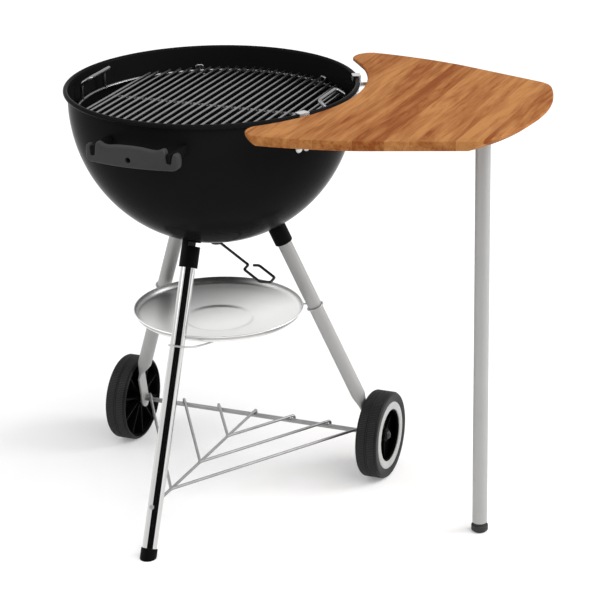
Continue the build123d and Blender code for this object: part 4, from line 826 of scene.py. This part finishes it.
def rib_tree(finish):
    """Two rows of ribs round a wheel whose axis is X."""
    rib_width, rib_length, row = 0.0016, 0.0128, 0.0084
    net, taken = geometry_tree("tread_ribs", Count="Int", Radius="Float", Height="Float", Centre="Vector")
    circle = net.node("GeometryNodeMeshCircle", {"Vertices": taken["Count"], "Radius": taken["Radius"]})
    size = net.vector(taken["Height"] * 2.0, rib_width, rib_length)
    rib = net.node("GeometryNodeMeshCube", {"Size": size})
    spoke = {"Vector": net.node("GeometryNodeInputPosition")}
    turn = net.node("FunctionNodeAlignRotationToVector", spoke, axis="X", pivot_axis="Z")
    rows = []
    for place in (row, -row):
        moved = net.node("GeometryNodeTransform", {"Geometry": rib, "Translation": (0.0, 0.0, place)})
        values = {"Points": circle, "Instance": moved, "Rotation": turn}
        rows.append(net.node("GeometryNodeInstanceOnPoints", values))
    values = {"Geometry": net.join(*rows), "Translation": taken["Centre"], "Rotation": (0.0, pi / 2, 0.0)}
    return close_tree(net, net.node("GeometryNodeTransform", values), finish)


class GRILL_OT_wheels(bpy.types.Operator):
    """Ribbed tyres, wheels and trim rings, with the axle, washers and dome caps"""

    bl_idname = "grill.wheels"
    bl_label = "Wheels"

    def execute(self, context):
        colours, sizes = context.scene.grill_finishes, context.scene.grill_sizes
        rubber = moulding("tyre_rubber", colours.tyre, 0.42, 900.0, shine=0.18)
        # Painted highlight: the tread ribs and the middle bead get rubber four times lighter than the tyre,
        # for light caught on the raised tread.
        highlit = moulding("worn_rubber", tint(colours.tyre, 4.0), 0.5, 900.0, shine=0.18)
        plastic = moulding("wheel_plastic", tint(colours.plastic, 0.8), 0.45, shine=0.03)
        pale = moulding("pale_trim", colours.trim, 0.4, 1600.0, 0.00004)
        tree = rib_tree(highlit)
        height = sizes.tread_rib_height
        tread = AXLE_Z - height / MM
        tyre, bead = tyre_profiles(tread)
        ring = arc((57.1, 17.4), 1.3, -90, 90, 6) + arc((46.5, 17.2), 1.4, 90, 270, 6)
        for place, side in SIDES:
            body = f"{place}_wheel"
            hub = at(side * WHEEL_X, AXLE_Y, AXLE_Z)
            way = (side, 0, 0)
            turned = lathe(tyre, hub, way, 144)
            put(f"{place}_tyre_body", turned, rubber, body, (f"{place}_tyre",), 30)
            values = {"Count": sizes.tread_ribs, "Radius": tread * MM, "Height": height, "Centre": tuple(hub)}
            ribs = grow(f"{place}_tread_ribs", tree, values)
            settle(f"{place}_tread_ribs", ribs, highlit, body, (), 30)
            put(f"{place}_tread_bead", lathe(bead, hub, way, 144), highlit, body, (), 30)
            softened(f"{place}_wheel_disc", f"{place}_wheel_rim", 0.7, plastic, body)
            turned = lathe(ring, hub, way, 120)
            put(f"{place}_pale_ring", turned, pale, body, (f"{place}_trim_ring",), 45)
        paint(wire_metal("axle_steel", colours.wire, 0.3), "axle", "axle_washers")
        cap = moulding("cap_grey", (0.025, 0.025, 0.025), 0.34, shine=0.2)
        paint(cap, "right_axle_cap", "left_axle_cap")
        return {"FINISHED"}


# Rack
def bead_tree(finish):
    """A flattened bead of weld on each point."""
    net, taken = geometry_tree("weld_beads", Size="Float")
    ball = net.node("GeometryNodeMeshIcoSphere", {"Radius": taken["Size"], "Subdivisions": 2})
    values = {"Points": taken["Geometry"], "Instance": ball, "Scale": (1.25, 1.5, 0.85)}
    return close_tree(net, net.node("GeometryNodeInstanceOnPoints", values), finish)


class GRILL_OT_rack(bpy.types.Operator):
    """Bent wires of the bottom rack with their weld beads, and the rack's screw"""

    bl_idname = "grill.rack"
    bl_label = "Bottom rack"

    def execute(self, context):
        zinc = wire_metal("zinc_wire", context.scene.grill_finishes.wire, 0.34)
        thick, step_x, step_y, over, bend, inset, sunk = 5.0, 67.5, 113.0, 8.5, 4.0 * MM, 4.0, 2.6
        hook = UP * (8.0 * MM)
        front_y = -(LEG_REACH - LEG_SLOPE * RACK_Z) + inset
        back = at(0, AXLE_Y + over, RACK_Z)
        bm = wire(rounded([at(0, front_y, RACK_Z), back, back - hook], bend), thick)
        welds = []
        for count in (1, 2, 3):
            apex = at(0, AXLE_Y - count * step_y, RACK_Z)
            welds.append((apex, UP))
            for _, side in SIDES:
                run = Vector((side * step_x, step_y, 0)) * MM
                back = apex + run * (count + over / step_y)
                wire(rounded([apex, back, back - hook], bend), thick, bm=bm)
                welds.append((apex + run * count - UP * (sunk * MM), UP))
        put("rack_wires", bm, zinc, "kettle", ("bottom_rack",))
        beads = grow("rack_welds", bead_tree(zinc), {"Size": 0.0031}, welds)
        settle("rack_welds", beads, zinc, "kettle", (), 60)
        paint(zinc, "rack_screw")
        return {"FINISHED"}


# Ash pan and sweep
def pan_profile():
    """A raised ring round a sunk middle, a curved wall and a rolled lip."""
    shell, wall_foot, wall_shell, middle, base = 1.2, 131, 0.9, 0.4, 302.7
    under = [(middle, base), (50.0, base), (54.0, 303.0), (56.5, 304.4), (58.5, 305.7), (62.0, 306.3)]
    under += [(90.0, 309.4), (112.0, 311.8), (125.0, 313.5), (131.0, 314.9), (135.0, 316.6)]
    under += [(137.0, 318.2), (138.4, 321.0), (139.9, 325.2)]
    lip = arc((140.7, 326.6), 1.1, -60, 190, 10)
    upper = []
    for r, z in under[-2:0:-1]:
        inset, rise = (wall_shell, wall_shell) if r > wall_foot else (0.2, shell)
        upper.append((r - inset, z + rise))
    return under + lip + upper + [(middle, base + shell)]


def pan_clip(azimuth):
    """A ring of wire round a leg, with a tail that goes in under the pan."""
    ring_z, tail_z, thick, play, steps = 316.2, 311.7, 3.0, 0.1, 40
    middle = leg_point(azimuth, ring_z)
    side = outward(azimuth)[1]
    inward = (leg_point(azimuth, 400.0) - middle).normalized().cross(side)
    reach = (LEG_RADIUS + play + thick / 2) * MM
    angles = [2 * pi * i / steps for i in range(steps)]
    loop = [middle + (side * cos(a) + inward * sin(a)) * reach for a in angles]
    tail = [loop[0], polar(144.8, azimuth + 10.0, tail_z), polar(122.0, azimuth + 20.0, tail_z)]
    return wire(rounded(tail, 0.006), thick, 10, bm=wire(loop, thick, 10, loop=True))


class GRILL_OT_pan(bpy.types.Operator):
    """Spun ash pan and the three wire clips that carry it"""

    bl_idname = "grill.pan"
    bl_label = "Ash pan"

    def execute(self, context):
        spun = spun_metal(context.scene.grill_finishes.sheet)
        dish = lathe(pan_profile(), AXIS, UP, 160)
        put("ash_pan_dish", dish, spun, "ash_pan", ("ash_pan",), 60)
        zinc = bpy.data.materials["zinc_wire"]
        for place, azimuth in (("front", FRONT), ("right_rear", RIGHT), ("left_rear", LEFT)):
            clip = pan_clip(azimuth)
            put(f"{place}_clip_wire", clip, zinc, "kettle", (f"{place}_pan_clip",))
        return {"FINISHED"}


class GRILL_OT_sweep(bpy.types.Operator):
    """Wire handle of the ash sweep, with its shaft, blades and nut"""

    bl_idname = "grill.sweep"
    bl_label = "Ash sweep"

    def execute(self, context):
        dark = wire_metal("dark_wire", (0.05, 0.05, 0.052), 0.38)
        start_z, tilt = 444.2, 0.22
        route = [(5, 0), (88, 0), (97, -15), (139, -15), (148, 0), (139, 15), (97, 15), (92.5, 5.85)]
        points = [beside(SWEEP, u, v, start_z - tilt * u) for u, v in route]
        handle = wire(rounded(points, 0.005), 4.5)
        put("sweep_handle_wire", handle, dark, "ash_sweep", ("sweep_handle",))
        paint(dark, "sweep_shaft", "sweep_nut", "sweep_blades")
        return {"FINISHED"}


# Grates
def bar_tree(finish):
    """Straight bars across a circle, evenly spaced, with one more at each side."""
    kinds = {"Count": "Int", "Pitch": "Float", "Reach": "Float", "Thickness": "Float", "Edge": "Float"}
    net, taken = geometry_tree("grate_bars", **kinds, Centre="Vector")
    lines = []
    for count, start, pitch in (
        (taken["Count"], (taken["Count"] - 1.0) * taken["Pitch"] * -0.5, taken["Pitch"]),
        (2, taken["Edge"] * -1.0, taken["Edge"] * 2.0),
    ):
        values = {"Count": count, "Start Location": net.vector(start), "Offset": net.vector(pitch)}
        lines.append(net.node("GeometryNodeMeshLine", values))
    x = net.node("GeometryNodeInputPosition").split()[0]
    half = (taken["Reach"] * taken["Reach"] - x * x).root()
    run = net.node("GeometryNodeCurvePrimitiveLine", {"Start": (0.0, -1.0, 0.0), "End": (0.0, 1.0, 0.0)})
    ring = net.node("GeometryNodeCurvePrimitiveCircle", {"Resolution": 14, "Radius": taken["Thickness"]})
    bar = net.node("GeometryNodeCurveToMesh", {"Curve": run, "Profile Curve": ring, "Fill Caps": True})
    values = {"Points": net.join(*lines), "Instance": bar, "Scale": net.vector(1.0, half, 1.0)}
    bars = net.node("GeometryNodeInstanceOnPoints", values)
    laid = net.node("GeometryNodeTransform", {"Geometry": bars, "Translation": taken["Centre"]})
    return close_tree(net, laid, finish)


def cooking_grate(finish, sizes):
    """Bars on a ring and a cross rod, and a bent handle at each side."""
    ring, bar, past = 6.0, 4.5, 1.5
    edge = (sizes.grate_bars - 1) * sizes.grate_pitch / 2 + sizes.grate_edge
    values = {"Count": sizes.grate_bars, "Pitch": sizes.grate_pitch, "Edge": edge}
    values |= {"Reach": (GRATE_RADIUS + past) * MM, "Thickness": bar / 2 * MM}
    values["Centre"] = tuple(at(0, 0, GRATE_Z + (ring + bar) / 2))
    bars = grow("grate_bars", bar_tree(finish), values)
    settle("grate_bars", bars, finish, "cooking_grate", ("cooking_grate_bars",))
    circle = [polar(GRATE_RADIUS, 360 * i / 120, GRATE_Z) for i in range(120)]
    rod = edge / MM + bar / 2
    bm = wire(circle, ring, loop=True)
    wire([at(x, 0, GRATE_Z) for x in (-rod, 0, rod)], ring, bm=bm)
    nodes = ("cooking_grate_ring", "cooking_grate_rod")
    put("grate_ring", bm, finish, "cooking_grate", nodes)
    half, top_half, lean, shoulder_z, top_z = 40.0, 35.0, 14.0, GRATE_Z + 28.5, GRATE_Z + 38
    for place, side in SIDES:
        foot_x = side * sqrt(GRATE_RADIUS**2 - half**2)
        top_x = foot_x - side * lean
        rise = [(foot_x, half, GRATE_Z), (foot_x, half, shoulder_z), (top_x, top_half, top_z)]
        route = [at(x, -y, z) for x, y, z in rise] + [at(x, y, z) for x, y, z in reversed(rise)]
        loop = wire(rounded(route, 0.007), ring)
        put(f"{place}_grate_loop", loop, finish, "cooking_grate", (f"{place}_grate_handle",))


def grate_supports(finish):
    """Four bent wires on the bowl's wall that carry the cooking grate."""
    foot_z, top_z, half, thick, foot, gap = GRATE_Z - 5.3, GRATE_Z + 7.5, 6.0, 4.0, 15, 0.5
    below = SKIRT_Z - foot_z + thick / 2
    wall = (WALL_RADIUS - WALL) * sqrt(1 - (below / (WALL_DEPTH - WALL)) ** 2)
    reach = sqrt((wall - gap - thick / 2) ** 2 - half**2)
    rise = [(reach - foot, foot_z), (reach, foot_z), (reach, top_z)]
    bm = bmesh.new()
    for azimuth in SUPPORTS:
        route = [beside(azimuth, r, -half, z) for r, z in rise]
        route += [beside(azimuth, r, half, z) for r, z in reversed(rise)]
        wire(rounded(route, 0.003), thick, 12, bm=bm)
    put("grate_support_wires", bm, finish, "kettle", ("cooking_grate_supports",))


def charcoal_grate(sizes):
    """Stout bars on two rods."""
    dark = wire_metal("charcoal_grate_steel", (0.16, 0.155, 0.15), 0.5)
    rod_z, reach, rod_y, thick = 542.2, 168.0, 75.0, 6.0
    edge = (sizes.coal_bars - 1) * sizes.coal_pitch / 2
    values = {"Count": sizes.coal_bars - 2, "Pitch": sizes.coal_pitch, "Edge": edge}
    values |= {"Reach": reach * MM, "Thickness": thick / 2 * MM, "Centre": tuple(at(0, 0, rod_z + thick))}
    bars = grow("charcoal_bars", bar_tree(dark), values)
    settle("charcoal_bars", bars, dark, "charcoal_grate", ("charcoal_grate_bars",))
    half = sqrt(reach**2 - rod_y**2)
    bm = bmesh.new()
    for y in (-rod_y, rod_y):
        wire([at(x, y, rod_z) for x in (-half, 0, half)], thick, bm=bm)
    put("charcoal_rods", bm, dark, "charcoal_grate", ("charcoal_grate_rods",))


class GRILL_OT_grates(bpy.types.Operator):
    """Cooking grate with its handles and supports, and the charcoal grate below it"""

    bl_idname = "grill.grates"
    bl_label = "Grates"

    def execute(self, context):
        colours, sizes = context.scene.grill_finishes, context.scene.grill_sizes
        plated = wire_metal("grate_wire", tint(colours.wire, 0.66), 0.2)
        cooking_grate(plated, sizes)
        grate_supports(plated)
        charcoal_grate(sizes)
        return {"FINISHED"}


# Side table
def bolt_tree(finish):
    """A low dome on a washer at each point, facing the point's aim."""
    washer_share, washer_depth, sides = 1.08, 0.0012, 28
    net, taken = geometry_tree("bolt_heads", Radius="Float", Height="Float")
    size = net.vector(taken["Radius"], taken["Radius"], taken["Height"])
    ball = net.node("GeometryNodeMeshUVSphere", {"Segments": sides, "Rings": 16, "Radius": 1.0})
    dome = net.node("GeometryNodeTransform", {"Geometry": ball, "Scale": size})
    values = {"Vertices": sides, "Radius": taken["Radius"] * washer_share, "Depth": washer_depth}
    washer = net.node("GeometryNodeMeshCylinder", values)
    aim = net.node("GeometryNodeInputNamedAttribute", {"Name": "aim"}, data_type="FLOAT_VECTOR")
    turn = net.node("FunctionNodeAlignRotationToVector", {"Vector": aim}, axis="Z")
    values = {"Points": taken["Geometry"], "Instance": net.join(dome, washer), "Rotation": turn}
    return close_tree(net, net.node("GeometryNodeInstanceOnPoints", values), finish)


def clip_bolts(steel):
    """Three bolts through each rim clip and the bowl's wall: heads outside and ends inside."""
    face, pair, low_z, high_z, low_inside, high_inside = 235.2, 7.5, 657.5, 687.0, 228.0, 231.0
    spots = ((-pair, low_z, low_inside), (pair, low_z, low_inside), (0.0, high_z, high_inside))
    heads, ends = [], []
    for azimuth in CLIPS:
        out = outward(azimuth)[0]
        for across, z, inside in spots:
            heads.append((beside(azimuth, face, across, z), out))
            ends.append((beside(azimuth, inside, across, z), -out))
    tree = bolt_tree(steel)
    domes = grow("clip_bolt_heads", tree, {"Radius": 0.006, "Height": 0.0045}, heads)
    settle("clip_bolt_heads", domes, steel, "kettle", ("clip_bolts",), 45)
    dull = wire_metal("bolt_end_steel", (0.12, 0.12, 0.12), 0.45)
    domes = grow("clip_bolt_ends", tree, {"Radius": 0.0038, "Height": 0.0025}, ends)
    settle("clip_bolt_ends", domes, dull, "kettle", (), 45)


class GRILL_OT_table(bpy.types.Operator):
    """Wooden board with its rim clips, bolts, leg plate, leg and glide"""

    bl_idname = "grill.table"
    bl_label = "Side table"

    def execute(self, context):
        colours, sizes = context.scene.grill_finishes, context.scene.grill_sizes
        paint(oiled_wood(colours.wood_light, colours.wood_dark, sizes.stave), "table_board")
        steel = drawn_metal("pale_steel", colours.steel, 0.26, UP)
        # The straps carry painted shade from the board on their lower ends.
        strap = dipped_steel(colours.steel, 0.668)
        for place in ("front", "rear"):
            softened(f"{place}_clip_strap", f"{place}_rim_clip", 0.7, strap, "kettle")
        paint(steel, "board_screws")
        clip_bolts(steel)
        satin = drawn_metal("table_leg_tube", colours.satin, 0.36, UP, metal=0.4)
        low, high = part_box("table_leg")
        middle = (low + high) / 2
        line = [Vector((middle.x, middle.y, z)) for z in (low.z, 0.2, 0.4, 0.55, high.z)]
        pole = wire(line, (high.x - low.x) / MM, 56)
        put("table_leg_pole", pole, satin, "kettle", ("table_leg",))
        softened("table_leg_plate_soft", "table_leg_plate", 0.6, satin, "kettle")
        plastic = bpy.data.materials["black_plastic"]
        softened("table_leg_foot", "table_leg_glide", 0.6, plastic, "kettle")
        return {"FINISHED"}


# Stage
def lay_floor(colour):
    """A wide floor that takes the grill's shadow, with a share of plain white where it is seen."""
    reach, white = 14.0, 0.22
    mesh = bpy.data.meshes.new("floor")
    corners = [(-reach, -reach, 0), (reach, -reach, 0), (reach, reach, 0), (-reach, reach, 0)]
    mesh.from_pydata(corners, [], [(0, 1, 2, 3)])
    f = Finish("floor_paint")
    mesh.materials.append(f.surface(Base_Color=tuple(colour), Roughness=0.9, Specular_IOR_Level=0.0))
    glow = f.node("ShaderNodeEmission", {"Color": (1.0, 1.0, 1.0, 1.0), "Strength": 1.0})
    lit = Sock(f, f.shader.outputs[0])
    mixed = f.node("ShaderNodeMixShader", {0: f.seen() * white, 1: lit, 2: glow})
    f.feed(f.tree.nodes["Material Output"].inputs["Surface"], mixed)
    plane = hang("floor", mesh)


def raise_screen(name, start, end, grey):
    """A curved screen between two azimuths that only polished surfaces see."""
    reach, low, high, steps = 5.0, 0.02, 5.0, 24
    corners = []
    for i in range(steps + 1):
        a = radians(start + (end - start) * i / steps)
        corners += [(reach * cos(a), reach * sin(a), z) for z in (low, high)]
    faces = [(2 * i, 2 * i + 2, 2 * i + 3, 2 * i + 1) for i in range(steps)]
    mesh = bpy.data.meshes.new(name)
    mesh.from_pydata(corners, [], faces)
    f = Finish(f"{name}_cloth")
    mesh.materials.append(f.surface(Base_Color=(grey,) * 3, Roughness=1.0, Specular_IOR_Level=0.0))
    screen = hang(name, mesh)
    screen.visible_camera = False
    screen.visible_diffuse = False
    screen.visible_transmission = False
    screen.visible_shadow = False


def light_sky(scene, level):
    """Even light from all round, white where it is seen."""
    world = bpy.data.worlds.new("studio")
    world.use_nodes = True
    scene.world = world
    net = Net(world.node_tree)
    back = world.node_tree.nodes["Background"]
    back.inputs["Color"].default_value = (1.0, 1.0, 1.0, 1.0)
    net.feed(back.inputs["Strength"], net.seen() * (1.0 - level) + level)


def light_lamp(name, kind, place, target, **settings):
    """A lamp that faces a target."""
    data = bpy.data.lights.new(name, kind)
    for key, value in settings.items():
        setattr(data, key, value)
    lamp = hang(name, data)
    lamp.location = place
    lamp.rotation_euler = (Vector(target) - Vector(place)).to_track_quat("-Z", "Y").to_euler()


def place_camera(scene, lens):
    """The camera, leaning a little to one side."""
    eye = at(1596.3, -3410.7, 1766.0)
    forward = Vector((-0.3654, 0.8603, -0.3554)).normalized()
    roll = radians(-1.10)
    right = forward.cross(UP).normalized()
    up = right.cross(forward)
    tilted_right = right * cos(roll) + up * sin(roll)
    tilted_up = up * cos(roll) - right * sin(roll)
    data = bpy.data.cameras.new("camera")
    data.sensor_width = 36.0
    data.lens = lens
    data.clip_end = 60.0
    columns = Matrix((tilted_right, tilted_up, -forward)).transposed().to_4x4()
    camera = hang("camera", data)
    camera.matrix_world = Matrix.Translation(eye) @ columns
    scene.camera = camera


class GRILL_OT_stage(bpy.types.Operator):
    """Pale floor, soft light and the camera"""

    bl_idname = "grill.stage"
    bl_label = "Stage"

    def execute(self, context):
        scene, stage = context.scene, context.scene.grill_stage
        scene.view_settings.view_transform = "Standard"
        lay_floor(stage.floor)
        light_sky(scene, stage.sky)
        light_lamp("key", "SUN", (0, 0, 0), (-2.75, 1.35, -4.1), energy=stage.key, angle=stage.key_spread)
        light_lamp("fill", "AREA", (-2.8, -1.6, 2.2), (0.0, 0.0, 0.4), energy=stage.fill, size=2.0)
        light_lamp("side", "AREA", (2.8, 1.3, 1.9), (0.0, 0.0, 0.35), energy=stage.side, size=1.4)
        raise_screen("flag", -110.0, -17.0, 0.01)
        raise_screen("grey_card", 2.0, 56.0, 0.4)
        place_camera(scene, stage.lens)
        return {"FINISHED"}


class GRILL_PT_panel(bpy.types.Panel):
    """Lists the grill's pieces and settings."""

    bl_idname = "GRILL_PT_panel"
    bl_label = "Kettle grill"
    bl_space_type = "VIEW_3D"
    bl_region_type = "UI"
    bl_category = "Grill"

    def draw(self, context):
        for operator in OPERATORS:
            self.layout.operator(operator.bl_idname)
        for group in GROUPS:
            settings = getattr(context.scene, group)
            for key in settings.bl_rna.properties.keys():
                if key not in ("rna_type", "name"):
                    self.layout.prop(settings, key)


OPERATORS = (
    GRILL_OT_stage, GRILL_OT_bowl, GRILL_OT_handles, GRILL_OT_legs, GRILL_OT_wheels, GRILL_OT_rack,
    GRILL_OT_pan, GRILL_OT_sweep, GRILL_OT_grates, GRILL_OT_table,
)
GROUPS = {"grill_finishes": GrillFinishes, "grill_sizes": GrillSizes, "grill_stage": GrillStage}
CLASSES = (*GROUPS.values(), *OPERATORS, GRILL_PT_panel)


def register():
    for item in CLASSES:
        bpy.utils.register_class(item)
    for name, group in GROUPS.items():
        setattr(bpy.types.Scene, name, bpy.props.PointerProperty(type=group))


def unregister():
    for name in GROUPS:
        delattr(bpy.types.Scene, name)
    for item in reversed(CLASSES):
        bpy.utils.unregister_class(item)


def main():
    register()
    for operator in OPERATORS:
        group, name = operator.bl_idname.split(".")
        getattr(getattr(bpy.ops, group), name)()


if __name__ == "__main__":
    main()
